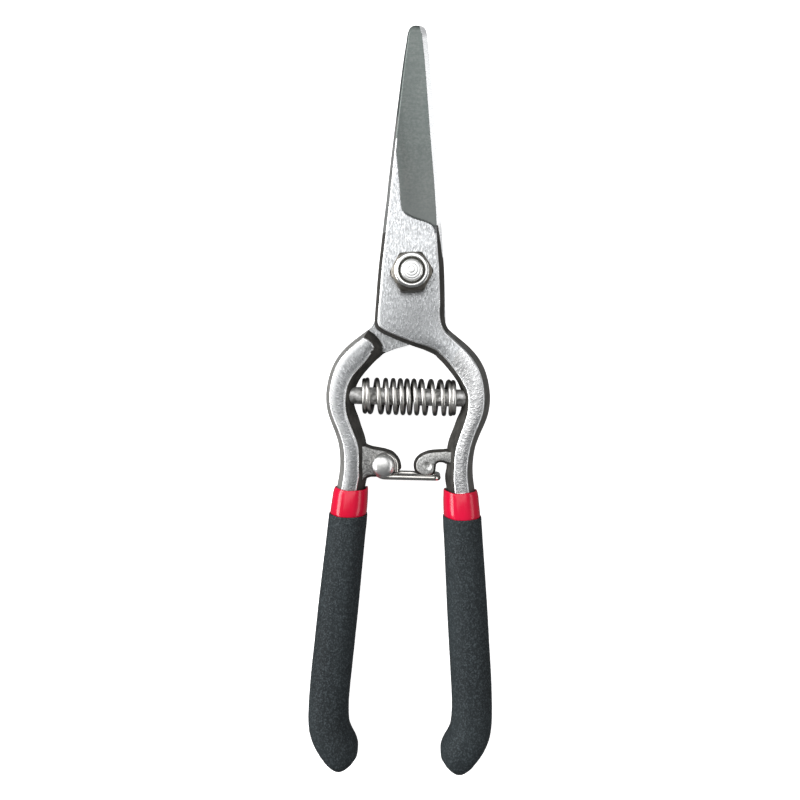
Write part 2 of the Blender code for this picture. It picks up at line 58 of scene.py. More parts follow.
class Nodes:
    """Small helper for wiring one procedural material."""

    def __init__(self, name):
        self.mat = bpy.data.materials.new(name)
        self.mat.use_nodes = True
        self.tree = self.mat.node_tree
        self.shader = next(n for n in self.tree.nodes if n.type == "BSDF_PRINCIPLED")
        self.coords = self.tree.nodes.new("ShaderNodeTexCoord")

    def new(self, kind, **inputs):
        node = self.tree.nodes.new(kind)
        for key, value in inputs.items():
            node.inputs[key.replace("_", " ")].default_value = value
        return node

    def link(self, a, b):
        self.tree.links.new(a, b)

    def mapped(self, scale, rotation=(0, 0, 0)):
        """Object coordinates stretched by scale (per metre)."""
        m = self.tree.nodes.new("ShaderNodeMapping")
        m.inputs["Scale"].default_value = scale
        m.inputs["Rotation"].default_value = rotation
        self.link(self.coords.outputs["Object"], m.inputs["Vector"])
        return m.outputs["Vector"]

    def flow(self, scale):
        """Position along and across the forging, in millimetres, stretched by scale."""
        a = self.tree.nodes.new("ShaderNodeAttribute")
        a.attribute_name = "flow"
        m = self.tree.nodes.new("ShaderNodeMapping")
        m.inputs["Scale"].default_value = scale
        self.link(a.outputs["Vector"], m.inputs["Vector"])
        return m.outputs["Vector"]

    def flow_noise(self, scale, detail=3.0, rough=0.55, distortion=0.0):
        n = self.new("ShaderNodeTexNoise", Scale=1.0, Detail=detail, Roughness=rough, Distortion=distortion)
        self.link(self.flow(scale), n.inputs["Vector"])
        return n.outputs["Fac"]

    def noise(self, scale, detail=3.0, rough=0.55, distortion=0.0, rotation=(0, 0, 0)):
        n = self.new("ShaderNodeTexNoise", Scale=1.0, Detail=detail, Roughness=rough, Distortion=distortion)
        self.link(self.mapped(scale, rotation), n.inputs["Vector"])
        return n.outputs["Fac"]

    def voronoi(self, scale, feature="F1"):
        n = self.new("ShaderNodeTexVoronoi", Scale=1.0)
        n.feature = feature
        self.link(self.mapped(scale), n.inputs["Vector"])
        return n.outputs["Distance"]

    def ramp(self, fac, stops):
        r = self.tree.nodes.new("ShaderNodeValToRGB")
        e = r.color_ramp.elements
        while len(e) < len(stops):
            e.new(0.5)
        for element, (at, colour) in zip(e, stops):
            element.position = at
            element.color = (*colour, 1.0) if hasattr(colour, "__len__") else (colour, colour, colour, 1.0)
        self.link(fac, r.inputs["Fac"])
        return r.outputs["Color"]

    def remap(self, fac, a, b, lo, hi):
        r = self.new("ShaderNodeMapRange")
        r.inputs["From Min"].default_value = a
        r.inputs["From Max"].default_value = b
        r.inputs["To Min"].default_value = lo
        r.inputs["To Max"].default_value = hi
        self.link(fac, r.inputs["Value"])
        return r.outputs["Result"]

    def math(self, op, a, b):
        m = self.tree.nodes.new("ShaderNodeMath")
        m.operation = op
        for socket, value in zip(m.inputs, (a, b)):
            if isinstance(value, (int, float)):
                socket.default_value = value
            else:
                self.link(value, socket)
        return m.outputs[0]

    def mix(self, fac, a, b):
        m = self.tree.nodes.new("ShaderNodeMix")
        m.data_type = "RGBA"
        for socket, value in ((m.inputs[0], fac), (m.inputs[6], a), (m.inputs[7], b)):
            if isinstance(value, (int, float)):
                socket.default_value = value
            elif hasattr(value, "__len__"):
                socket.default_value = (*value, 1.0)
            else:
                self.link(value, socket)
        return m.outputs[2]

    def set(self, **values):
        for key, value in values.items():
            socket = self.shader.inputs[key.replace("_", " ")]
            if isinstance(value, bpy.types.NodeSocket):
                self.link(value, socket)
            elif hasattr(value, "__len__") and len(value) == 3:
                socket.default_value = (*value, 1.0)
            else:
                socket.default_value = value
        return self

    def bump(self, height, strength, distance):
        b = self.new("ShaderNodeBump", Strength=strength, Distance=distance)
        self.link(height, b.inputs["Height"])
        self.link(b.outputs["Normal"], self.shader.inputs["Normal"])
        return self


def face_steel(name, along, across, tone, rough, strength=0.5, contrast=0.5, distortion=0.6, painted_shade=None, painted_edge_highlight=None, straight=False):
    """Belt-ground, tumbled steel. along and across are marks per millimetre in each direction.
    dull is the middle of a patch painted darker as shade: x, y, radius in metres and strength.
    worn is a brighter band along the outer edge, a painted highlight: from, to in millimetres and strength."""
    m = Nodes(name)
    if straight:
        streak = m.noise((across * 1000, along * 1000, 800), 2.0, 0.55, distortion)
        second = m.noise((across * 2000, along * 2200, 1700), 2.0, 0.6, distortion)
    else:
        streak = m.flow_noise((along, across, 0.8), 2.0, 0.55, distortion)
        second = m.flow_noise((along * 2.2, across * 2.0, 1.7), 2.0, 0.6, distortion)
    patch = m.noise((190, 150, 150), 3.0, 0.55)
    marks = m.math("ADD", m.math("MULTIPLY", streak, 0.6), m.math("MULTIPLY", second, 0.4))
    low, high = tuple(t * (1 - 0.55 * contrast) for t in tone), tuple(min(1.0, t * (1 + 0.3 * contrast)) for t in tone)
    base = m.mix(m.remap(marks, 0.40, 0.60, 0.0, 1.0), low, high)
    base = m.mix(m.remap(patch, 0.35, 0.7, 0.0, 0.35), base, tuple(t * 0.80 for t in tone))
    # painted shade: the base colour is darkened towards the middle of the patch
    if painted_shade:
        g = m.tree.nodes.new("ShaderNodeVectorMath")
        g.operation = "DISTANCE"
        m.link(m.coords.outputs["Object"], g.inputs[0])
        g.inputs[1].default_value = (painted_shade[0], painted_shade[1], 0.010)
        near = m.remap(g.outputs["Value"], 0.0, painted_shade[2], painted_shade[3], 0.0)
        base = m.mix(near, base, tuple(t * 0.45 for t in tone))
    # painted highlight: the base colour is lifted towards near-white along the outer edge
    if painted_edge_highlight:
        a = m.tree.nodes.new("ShaderNodeAttribute")
        a.attribute_name = "flow"
        split = m.new("ShaderNodeSeparateXYZ")
        m.link(a.outputs["Vector"], split.inputs[0])
        off = m.math("ADD", split.outputs["Z"], m.math("MULTIPLY", marks, 1.2))
        base = m.mix(m.remap(off, painted_edge_highlight[0] + 0.6, painted_edge_highlight[1] + 0.6, painted_edge_highlight[2], 0.0), base, (0.93, 0.935, 0.94))
    m.set(Base_Color=base, Metallic=1.0)
    m.set(Roughness=m.remap(marks, 0.38, 0.62, rough + 0.09, rough - 0.07))
    m.bump(marks, strength, 0.00018)
    return m.mat


def flank_steel(name, dark, light, rough=0.55, specular=0.22, metallic=0.0):
    """The forging's sloping sides, left with their dark scale and slightly pitted; their dark tone is partly that scale
    and partly painted shade.
    """
    m = Nodes(name)
    cloud = m.noise((420, 300, 500), 4.0, 0.6)
    grain = m.noise((2600, 2600, 2600), 3.0, 0.6)
    colour = m.mix(m.remap(cloud, 0.32, 0.68, 0.0, 1.0), dark, light)
    m.set(Base_Color=colour, Metallic=metallic, Roughness=m.remap(grain, 0.3, 0.7, rough - 0.1, rough + 0.1))
    m.shader.inputs["Specular IOR Level"].default_value = specular
    m.bump(m.math("ADD", grain, m.math("MULTIPLY", cloud, 1.4)), 0.4, 0.00012)
    return m.mat


# The plate face is painted darker round a point just below the pivot: painted shade.
M_PLATE = face_steel("steel_plate_face", 0.8, 2.6, (0.72, 0.735, 0.75), 0.30, 0.7, 0.8, 0.35, (0.0015, -0.012, 0.017, 0.95), None, True)
# The rear plate face is a darker copy of the plate steel: painted shade where its lap face shows between the two
# halves.
M_PLATE_REAR = face_steel("steel_plate_face_rear_painted_shade", 0.8, 2.4, (0.44, 0.45, 0.455), 0.32, 0.7, 0.8, 0.35, None, None, True)
# The right arm face gets a painted shade patch near the step where the arm begins.
M_ARM_R = face_steel("steel_arm_face_cross_ground", 1.7, 0.24, (0.93, 0.935, 0.94), 0.26, 1.0, 1.0, 0.5, (0.0125, -0.0185, 0.0135, 0.9), (0.3, 3.0, 0.8))
# This face and the right arm face above carry the painted highlight band along their outer edge.
M_ARM_L = face_steel("steel_arm_face", 2.2, 0.4, (0.47, 0.48, 0.488), 0.33, 0.55, 0.6, 0.5, None, (0.5, 1.8, 1.0))
M_FLANK = flank_steel("steel_flank_dark", (0.050, 0.048, 0.044), (0.085, 0.082, 0.076))
# The flank steel copies below carry painted light and shade: the inner flanks are painted darker as shade, the left
# arm's outer flank and the spine are painted lighter as light, and the right arm's outer flank is painted darker as
# shade.
M_FLANK_IN = flank_steel("steel_flank_inner_painted_shade", (0.034, 0.033, 0.030), (0.088, 0.084, 0.077), 0.6, 0.15)
M_FLANK_OUT = flank_steel("steel_flank_outer_painted_light", (0.20, 0.198, 0.188), (0.30, 0.296, 0.285), 0.5, 0.3)
M_FLANK_R = flank_steel("steel_flank_right_outer_painted_shade", (0.095, 0.092, 0.086), (0.165, 0.16, 0.15), 0.5, 0.25)
M_SPINE = flank_steel("steel_spine_flank_painted_light", (0.20, 0.205, 0.20), (0.33, 0.335, 0.33), 0.42, 0.4, 0.3)
M_LUG = face_steel("steel_nose_face", 1.8, 1.8, (0.66, 0.66, 0.645), 0.38, 0.9, 0.9, 0.6)
M_LUG_L = face_steel("steel_lug_face", 1.8, 1.8, (0.45, 0.45, 0.44), 0.38, 0.9, 0.9, 0.6)
# The rounded edge strips get a brighter steel than the faces: a painted highlight along the rims.
M_RIM = face_steel("steel_edge_painted_highlight", 1.2, 1.2, (0.86, 0.865, 0.87), 0.30, 0.4, 0.35, 0.5)
M_HEX = None


def grind_steel():
    """The hollow-ground blade face: satin grey with very fine grinding lines across it; its dark tone is painted shade
    for the face's tilt to the right.
    """
    m = Nodes("steel_blade_grind")
    lines = m.noise((160, 5200, 200), 3.0, 0.6, rotation=(0, 0, math.radians(-4)))
    cloud = m.noise((150, 60, 150), 3.0, 0.5)
    fine = m.noise((6000, 6000, 6000), 1.0)
    colour = m.mix(m.remap(cloud, 0.3, 0.7, 0.0, 1.0), (0.205, 0.232, 0.226), (0.290, 0.308, 0.296))
    colour = m.mix(m.remap(lines, 0.35, 0.65, 0.0, 0.35), colour, (0.20, 0.215, 0.21))
    speck = m.noise((1500, 1500, 1500), 2.0, 0.6)
    colour = m.mix(m.remap(speck, 0.35, 0.65, 0.0, 0.7), colour, (0.16, 0.19, 0.18))
    split = m.new("ShaderNodeSeparateXYZ")
    m.link(m.coords.outputs["Object"], split.inputs[0])
    # The base colour is also made darker towards the tip and lighter towards the grind's lower end.
    colour = m.mix(m.remap(split.outputs["Y"], 0.040, 0.062, 0.0, 0.30), colour, (0.14, 0.17, 0.16))
    colour = m.mix(m.remap(split.outputs["Y"], 0.034, 0.012, 0.0, 0.40), colour, (0.46, 0.475, 0.465))
    m.set(Base_Color=colour, Metallic=0.85, Roughness=m.remap(lines, 0.3, 0.7, 0.40, 0.52))
    m.bump(m.math("ADD", lines, m.math("MULTIPLY", fine, 0.3)), 0.3, 0.00005)
    return m.mat


def bevel_steel():
    m = Nodes("steel_honed_bevel")
    lines = m.noise((300, 3800, 300), 2.0, 0.5)
    m.set(Base_Color=m.mix(m.remap(lines, 0.3, 0.7, 0.0, 1.0), (0.90, 0.91, 0.92), (0.97, 0.975, 0.98)), Metallic=0.4)
    m.set(Roughness=m.remap(lines, 0.3, 0.7, 0.20, 0.30))
    m.bump(lines, 0.12, 0.00003)
    return m.mat


def bright_metal(name, low, high, rough, grain_scale=(900, 900, 900), strength=0.12, patch=300):
    m = Nodes(name)
    cloud = m.noise((patch, patch, patch), 3.0, 0.5)
    grain = m.noise(grain_scale, 3.0, 0.6)
    m.set(Base_Color=m.mix(m.remap(cloud, 0.3, 0.7, 0.0, 1.0), low, high), Metallic=1.0)
    m.set(Roughness=m.remap(grain, 0.3, 0.7, rough - 0.05, rough + 0.07))
    m.bump(grain, strength, 0.00005)
    return m.mat


M_GRIND = grind_steel()
M_BEVEL = bevel_steel()
M_PLATED = bright_metal("plated_nut", (0.80, 0.80, 0.78), (0.90, 0.90, 0.885), 0.16)
# The nut's hexagon gets a much darker copy of the plating: painted shade on its sides and chamfers.
M_HEX = bright_metal("plated_hexagon_painted_shade", (0.13, 0.12, 0.104), (0.26, 0.245, 0.22), 0.40, (700, 700, 700), 0.5)
M_BOLT = bright_metal("plated_bolt_end", (0.93, 0.93, 0.915), (0.99, 0.99, 0.98), 0.34, (1500, 1500, 1500), 0.25)
M_RIVET = bright_metal("rivet_dome", (0.80, 0.80, 0.78), (0.95, 0.95, 0.935), 0.36, (1100, 1100, 1100), 0.4)
M_SPRING = bright_metal("spring_wire", (0.56, 0.545, 0.515), (0.84, 0.825, 0.80), 0.31, (2500, 500, 500), 0.03)
spring_nodes = M_SPRING.node_tree
_sh = next(n for n in spring_nodes.nodes if n.type == "BSDF_PRINCIPLED")
_src = _sh.inputs["Base Color"].links[0].from_socket
_co = next(n for n in spring_nodes.nodes if n.type == "TEX_COORD")
# Painted shade: the wire's base colour is mixed towards near-black below the top of the coil, standing in for the
# shadow on the back passes.
_sep = spring_nodes.nodes.new("ShaderNodeSeparateXYZ")
spring_nodes.links.new(_co.outputs["Object"], _sep.inputs[0])
_shade_by_height = spring_nodes.nodes.new("ShaderNodeMapRange")
for _k, _v in (("From Min", 0.0090), ("From Max", 0.0102), ("To Min", 0.16), ("To Max", 1.0)):
    _shade_by_height.inputs[_k].default_value = _v
spring_nodes.links.new(_sep.outputs["Z"], _shade_by_height.inputs["Value"])
_painted_shade_mix = spring_nodes.nodes.new("ShaderNodeMix")
_painted_shade_mix.data_type = "RGBA"
_painted_shade_mix.inputs[6].default_value = (0.05, 0.045, 0.038, 1.0)
spring_nodes.links.new(_shade_by_height.outputs["Result"], _painted_shade_mix.inputs[0])
spring_nodes.links.new(_src, _painted_shade_mix.inputs[7])
spring_nodes.links.new(_painted_shade_mix.outputs[2], _sh.inputs["Base Color"])
M_PEG = bright_metal("peg_turned", (0.24, 0.235, 0.225), (0.97, 0.965, 0.95), 0.42, (1300, 900, 900), 0.8, 750)
next(n for n in M_PEG.node_tree.nodes if n.type == "BSDF_PRINCIPLED").inputs["Metallic"].default_value = 0.55
M_BAIL = bright_metal("bail_wire", (0.62, 0.60, 0.565), (0.80, 0.785, 0.75), 0.17, (400, 2200, 400), 0.12)


def nylon():
    m = Nodes("nylon_ring")
    n = m.noise((1200, 1200, 1200), 3.0)
    m.set(Base_Color=m.mix(n, (0.040, 0.038, 0.031), (0.085, 0.081, 0.066)), Roughness=m.remap(n, 0.3, 0.7, 0.38, 0.5))
    m.bump(n, 0.2, 0.0001)
    return m.mat


def red_vinyl():
    """Glossy dipped vinyl: thick colour under a smooth coat, with faint runs."""
    m = Nodes("red_dipped_vinyl")
    cloud = m.noise((120, 60, 120), 3.0)
    runs = m.noise((420, 90, 420), 2.0, 0.5)
    m.set(Base_Color=m.mix(m.remap(cloud, 0.3, 0.7, 0.0, 1.0), (0.72, 0.003, 0.036), (0.86, 0.007, 0.058)))
    m.set(Roughness=m.remap(runs, 0.3, 0.7, 0.16, 0.25), IOR=1.5)
    m.shader.inputs["Specular IOR Level"].default_value = 0.55
    m.bump(runs, 0.09, 0.00025)
    return m.mat


def black_vinyl():
    """Matt foam-dipped vinyl: a fine pebbled skin with tiny pores and slightly lighter raised tips."""
    m = Nodes("black_textured_vinyl")
    pebble = m.voronoi((2300, 2000, 2300))
    fine = m.noise((3600, 3000, 3600), 2.0, 0.6)
    coarse = m.noise((1300, 1000, 1300), 3.0, 0.6)
    cloud = m.noise((70, 30, 70), 3.0)
    height = m.math("ADD", m.remap(pebble, 0.0, 0.8, 0.7, 0.0), m.math("MULTIPLY", fine, 0.9))
    height = m.math("ADD", height, m.math("MULTIPLY", coarse, 1.1))
    base = m.mix(m.remap(cloud, 0.35, 0.65, 0.0, 1.0), (0.0115, 0.0165, 0.0190), (0.0205, 0.0285, 0.0320))
    tips = m.remap(height, 1.2, 1.7, 0.0, 0.8)
    m.set(Base_Color=m.mix(tips, base, (0.070, 0.088, 0.097)), Roughness=m.remap(height, 0.6, 1.8, 0.8, 0.6))
    m.shader.inputs["Specular IOR Level"].default_value = 0.4
    m.bump(height, 0.85, 0.00020)
    return m.mat


M_NYLON = nylon()
M_RED = red_vinyl()
M_BLACK = black_vinyl()

# =========================================================================== mesh helpers


def add_object(name, verts, faces, mats, indices=None, smooth=True, sharp=None):
    """A mesh object from points in millimetres."""
    mesh = bpy.data.meshes.new(name)
    mesh.from_pydata([tuple(v) for v in (np.asarray(verts, float) * MM)], [], [tuple(f) for f in faces])
    for mat in mats:
        mesh.materials.append(mat)
    if indices is not None:
        mesh.polygons.foreach_set("material_index", np.asarray(indices, np.int32))
    mesh.update()
    obj = bpy.data.objects.new(name, mesh)
    SCENE.collection.objects.link(obj)
    bm = bmesh.new()
    bm.from_mesh(mesh)
    bmesh.ops.recalc_face_normals(bm, faces=bm.faces[:])
    if bm.calc_volume(signed=True) < 0:
        bmesh.ops.reverse_faces(bm, faces=bm.faces[:])
    bm.to_mesh(mesh)
    bm.free()
    if smooth:
        mesh.shade_smooth()
        if sharp is not None:
            mesh.set_sharp_from_angle(angle=math.radians(sharp))
    return obj


def grid_faces(rows, count, ring=True, caps=True, loop_rows=False):
    faces = []
    last = rows if loop_rows else rows - 1
    for r in range(last):
        a, b = r * count, ((r + 1) % rows) * count
        for i in range(count if ring else count - 1):
            j = (i + 1) % count
            faces.append((a + i, a + j, b + j, b + i))
    if caps and not loop_rows:
        faces.append(tuple(range(count))[::-1])
        faces.append(tuple((rows - 1) * count + i for i in range(count)))
    return faces


def hermite(ts, ys, at):
    """Smooth curve through points with slopes from their neighbours."""
    ts, ys, at = np.asarray(ts, float), np.asarray(ys, float), np.asarray(at, float)
    m = np.gradient(ys, ts) if len(ts) > 2 else np.full(len(ts), (ys[-1] - ys[0]) / (ts[-1] - ts[0]))
    k = np.clip(np.searchsorted(ts, at, side="right") - 1, 0, len(ts) - 2)
    h = ts[k + 1] - ts[k]
    u = np.clip((at - ts[k]) / h, 0, 1)
    return (
        (2 * u**3 - 3 * u**2 + 1) * ys[k]
        + (u**3 - 2 * u**2 + u) * h * m[k]
        + (-2 * u**3 + 3 * u**2) * ys[k + 1]
        + (u**3 - u**2) * h * m[k + 1]
    )


def pchip(ts, ys, at):
    """As hermite, with slopes held back so that it never overshoots."""
    ts, ys, at = np.asarray(ts, float), np.asarray(ys, float), np.asarray(at, float)
    d = np.diff(ys) / np.diff(ts)
    m = np.zeros(len(ts))
    m[0], m[-1] = d[0], d[-1]
    for i in range(1, len(ts) - 1):
        if d[i - 1] * d[i] > 0:
            w1 = 2 * (ts[i + 1] - ts[i]) + (ts[i] - ts[i - 1])
            w2 = (ts[i + 1] - ts[i]) + 2 * (ts[i] - ts[i - 1])
            m[i] = (w1 + w2) / (w1 / d[i - 1] + w2 / d[i])
    k = np.clip(np.searchsorted(ts, at, side="right") - 1, 0, len(ts) - 2)
    h = ts[k + 1] - ts[k]
    u = np.clip((at - ts[k]) / h, 0, 1)
    return (
        (2 * u**3 - 3 * u**2 + 1) * ys[k]
        + (u**3 - 2 * u**2 + u) * h * m[k]
        + (-2 * u**3 + 3 * u**2) * ys[k + 1]
        + (u**3 - u**2) * h * m[k + 1]
    )


def falling(table, y):
    """Reads a table of (y, value) with y falling."""
    t = sorted(table)
    return pchip([a for a, _ in t], [b for _, b in t], np.atleast_1d(y))


def lathe(name, profile, mats, centre=(0, 0), n=96, matrix=None, sharp=40, hexes=None, turn=0.0, close=False, zone=None):
    """A turned piece about Z. hexes gives, for some profile points, a hexagon's width."""
    verts = []
    angles = np.arange(n) * 2 * math.pi / n
    for k, (r, z) in enumerate(profile):
        reach = np.full(n, float(r))
        if hexes and hexes[k]:
            side = (angles % (math.pi / 3)) - math.pi / 6
            reach = np.minimum(reach, hexes[k] / 2 / np.cos(side))
        for a, q in zip(angles + turn, reach):
            verts.append((q * math.cos(a), q * math.sin(a), z))
    faces = grid_faces(len(profile), n, loop_rows=close)
    verts = np.array(verts)
    if matrix is not None:
        m = np.array(matrix)
        verts = verts @ m[:3, :3].T + m[:3, 3]
    verts[:, 0] += centre[0]
    verts[:, 1] += centre[1]
    idx = None
    if zone:
        idx = [zone(k // n) if k < (len(profile) - (0 if close else 1)) * n else 0 for k in range(len(faces))]
    return add_object(name, verts, faces, mats, idx, sharp=sharp)


def tube(name, path, radius, sides, mats, closed_ends=True):
    """Sweeps a round wire along points, in millimetres, with no twist."""
    path = np.asarray(path, float)
    tangent = np.gradient(path, axis=0)
    tangent /= np.linalg.norm(tangent, axis=1)[:, None]
    normal = np.cross(tangent[0], [0.3, 0.2, 1.0])
    normal /= np.linalg.norm(normal)
    radii = np.full(len(path), float(radius))
    verts = []
    for p, t, r in zip(path, tangent, radii):
        normal = normal - t * (normal @ t)
        normal /= np.linalg.norm(normal)
        side = np.cross(t, normal)
        for i in range(sides):
            a = 2 * math.pi * i / sides
            verts.append(p + r * (math.cos(a) * normal + math.sin(a) * side))
    return add_object(name, verts, grid_faces(len(path), sides, caps=closed_ends), mats, sharp=50)


# =========================================================================== the forging
HALF_WIDTH = [
    (66.69, 0.35), (66.66, 0.8), (66.5, 1.35), (66.2, 1.85), (65.8, 2.15), (65.0, 2.45), (62.0, 2.92),
    (58.0, 3.45), (52.0, 4.1), (45.0, 4.8), (38.0, 5.5), (32.0, 6.07), (26.0, 6.62), (20.0, 7.1),
    (16.5, 7.45), (14.4, 7.65), (12.6, 7.82), (10.6, 8.0),
]
SPINE_H = [(66.69, 1.22), (66.0, 1.36), (62.0, 1.6), (45.0, 2.15), (30.0, 2.75), (20.0, 3.25), (14.4, 3.5), (10.6, 3.5)]
BEVEL_H = [(66.69, 0.30), (66.5, 0.42), (66.2, 0.58), (65.8, 0.72), (65.0, 0.86), (62.0, 0.95), (36.0, 0.92), (26.0, 0.82), (20.0, 0.80), (15.5, 0.86), (13.6, 1.1), (12.0, 1.9), (10.6, 1.9)]
EDGE_IN = [(66.69, 0.2), (66.6, 0.55), (66.4, 0.95), (66.1, 1.25), (65.6, 1.4), (64.0, 1.46), (36.0, 1.47), (26.0, 1.28), (20.0, 1.22), (14.4, 1.42), (12.6, 1.55), (10.6, 1.6)]
HONED = [(66.69, 0.15), (66.4, 0.7), (65.5, 1.2), (64.0, 1.3), (36.0, 1.3), (30.0, 1.15), (20.0, 1.05), (14.4, 1.0), (12.6, 0.85), (10.6, 0.68)]
SPINE_IN = [(66.69, 0.12), (66.0, 0.28), (65.0, 0.4), (62.0, 0.48), (50.0, 0.6), (40.0, 0.68), (30.0, 0.82), (20.0, 0.95), (10.6, 1.0)]

PLATE = [
    (-8.35, 6.5, 8.2, 8.0, 1.0, 1.61),
    (-8.75, 2.0, 8.45, 5.0, 1.02, 1.61),
    (-9.0, -2.0, 8.7, 2.5, 1.04, 1.61),
    (-9.2, -6.0, 8.82, 0.2, 1.04, 1.61),
    (-9.4, -10.0, 8.9, -2.0, 1.04, 1.58),
    (-9.5, -12.4, 8.95, -4.0, 1.04, 1.53),
    (-9.42, -13.6, 9.0, -5.6, 1.0, 1.48),
    (-8.9, -14.55, 9.05, -7.2, 1.0, 1.43),
    (-7.6, -15.55, 9.08, -8.8, 1.1, 1.6),
    (-5.0, -16.7, 9.12, -10.3, 1.15, 1.55),
    (-2.0, -17.85, 9.3, -11.7, 1.15, 1.5),
    (1.0, -18.95, 9.6, -12.8, 1.15, 1.5),
    (4.0, -19.9, 9.95, -13.55, 1.15, 1.5),
    (7.0, -21.3, 10.45, -14.25, 1.15, 1.5),
]
HANDLE = [
    (7.6, -21.9, 10.95, -14.65, 1.15, 1.5, 2.5, 1.1, 3.5, 3.5),
    (8.2, -22.45, 11.5, -15.1, 1.15, 1.55, 2.5, 1.1, 3.5, 3.5),
    (8.6, -22.8, 11.9, -15.4, 1.2, 1.6, 2.5, 1.1, 3.5, 3.5),
    (8.9, -23.1, 12.2, -15.65, 1.2, 1.6, 2.5, 1.1, 3.52, 3.5),
    (10.0, -24.3, 13.6, -16.75, 1.2, 1.7, 2.2, 1.15, 3.6, 3.6),
    (11.2, -25.7, 15.4, -18.2, 1.15, 1.8, 2.0, 1.2, 3.72, 3.72),
    (12.3, -27.1, 17.3, -20.05, 1.05, 1.9, 2.0, 1.2, 3.85, 3.85),
    (13.15, -28.4, 19, -22.2, 1.05, 2, 2.15, 1.2, 3.98, 3.98),
    (13.75, -29.7, 20.3, -24.6, 1.15, 2, 2.25, 1.2, 4.1, 4.1),
    (14.2, -30.9, 21.15, -27.1, 1.3, 2, 2.2, 1.2, 4.2, 4.2),
    (14.45, -32.1, 21.7, -29.7, 1.35, 2, 2.1, 1.2, 4.28, 4.28),
    (14.5, -33.4, 21.95, -32.4, 1.4, 2, 2.1, 1.2, 4.35, 4.35),
    (14.3, -34.8, 21.8, -35, 1.55, 1.95, 2.3, 1.2, 4.4, 4.4),
    (13.9, -36.2, 21.3, -37.4, 1.8, 1.9, 2.55, 1.25, 4.43, 4.43),
    (13.3, -37.6, 20.5, -39.6, 2.05, 1.85, 2.8, 1.3, 4.46, 4.46),
    (12.75, -39.1, 19.65, -41.6, 2.15, 1.8, 2.75, 1.3, 4.5, 4.5),
    (12.2, -40.7, 18.95, -43.4, 2.15, 1.75, 2.6, 1.35, 4.52, 4.52),
    (11.55, -42.4, 18.4, -45.1, 2.25, 1.7, 2.5, 1.4, 4.55, 4.55),
    (11.0, -44.2, 18.05, -46.8, 2.3, 1.7, 2.35, 1.45, 4.58, 4.58),
    (10.7, -46.2, 17.85, -48.6, 2.2, 1.8, 2.2, 1.5, 4.6, 4.6),
    (10.65, -48.6, 17.75, -50.5, 2.0, 1.85, 2.1, 1.5, 4.6, 4.6),
    (10.7, -51.0, 17.82, -52.4, 1.9, 1.9, 2.0, 1.5, 4.6, 4.6),
    (10.35, -53.4, 18.0, -54.2, 2.2, 1.95, 2.2, 1.5, 4.6, 4.6),
    (10.75, -56.2, 18.35, -56.4, 2.1, 1.95, 2.2, 1.5, 4.6, 4.6),
    (11.05, -60.0, 18.7, -60.0, 2.0, 1.9, 2.1, 1.8, 4.6, 4.6),
    (11.45, -65.0, 19.05, -65.0, 2.0, 1.9, 2.0, 1.9, 4.6, 4.6),
    (11.9, -72.0, 19.75, -72.0, 2.0, 1.9, 2.0, 1.9, 4.6, 4.6),
    (12.6, -82.0, 20.6, -82.0, 2.0, 2.0, 2.0, 2.0, 4.6, 4.6),
    (13.4, -92.0, 21.5, -92.0, 2.0, 2.0, 2.0, 2.0, 4.6, 4.6),
    (14.1, -102.0, 22.3, -102.0, 2.0, 2.0, 2.0, 2.0, 4.6, 4.6),
    (14.9, -112.0, 22.9, -112.0, 2.0, 2.0, 2.0, 2.0, 4.6, 4.6),
    (14.9, -119.0, 22.7, -119.0, 2.0, 2.0, 2.0, 2.0, 4.5, 4.5),
    (14.6, -123.0, 21.4, -123.0, 1.9, 1.9, 1.9, 1.9, 4.2, 4.2),
    (15.4, -125.0, 20.2, -125.0, 1.6, 1.6, 1.6, 1.6, 3.4, 3.4),
]
# Columns: Lx Ly Rx Ry aL aR bL bR hL hR parting bottom honed
ROWS = []
for y, half in HALF_WIDTH:
    ROWS.append([-half, y, half, y, falling(SPINE_IN, y)[0], falling(EDGE_IN, y)[0], 0, 0,
                 falling(SPINE_H, y)[0], falling(BEVEL_H, y)[0], GAP + LAND, 3.5, falling(HONED, y)[0]])
for lx, ly, rx, ry, al, ar in PLATE:
    ROWS.append([lx, ly, rx, ry, al, ar, 2.5, 1.1, PLATE_T, PLATE_T, GAP + LAND, 3.5, {8.0: 0.42, 5.0: 0.2}.get(ry, 0.04)])
for lx, ly, rx, ry, al, ar, bl, br, h, depth in HANDLE:
    ROWS.append([lx, ly, rx, ry, al, ar, bl, br, h, h, 0.0, depth, 0.3])
ROWS = np.array(ROWS)
N_BLADE, N_PLATE = len(HALF_WIDTH), len(PLATE)

TOP_N = 76     # points across the outside face
CORNER_N = 5   # points round each edge

# The ground face: where it starts beside the spine, and its curved lower end.
GRIND_LEFT = [(-60, -3.0), (14.0, -3.0), (16.7, -3.2), (18.0, -3.5), (20.0, -3.82), (25.0, -4.35), (30.0, -4.95), (32.0, -5.3), (36.0, -6.2), (70, -9)]
GRIND_END = [(-9.0, 21.82), (-3.6, 17.42), (-3.2, 16.52), (-2.6, 15.92), (-1.6, 15.27), (0.0, 14.57), (1.5, 14.12), (3.0, 13.77), (4.3, 13.37), (5.3, 12.87), (5.9, 12.27), (6.2, 11.52), (6.4, 10.82), (9.0, 8.82)]


def ramp01(x):
    x = np.clip(x, 0, 1)
    return x * x * (3 - 2 * x)


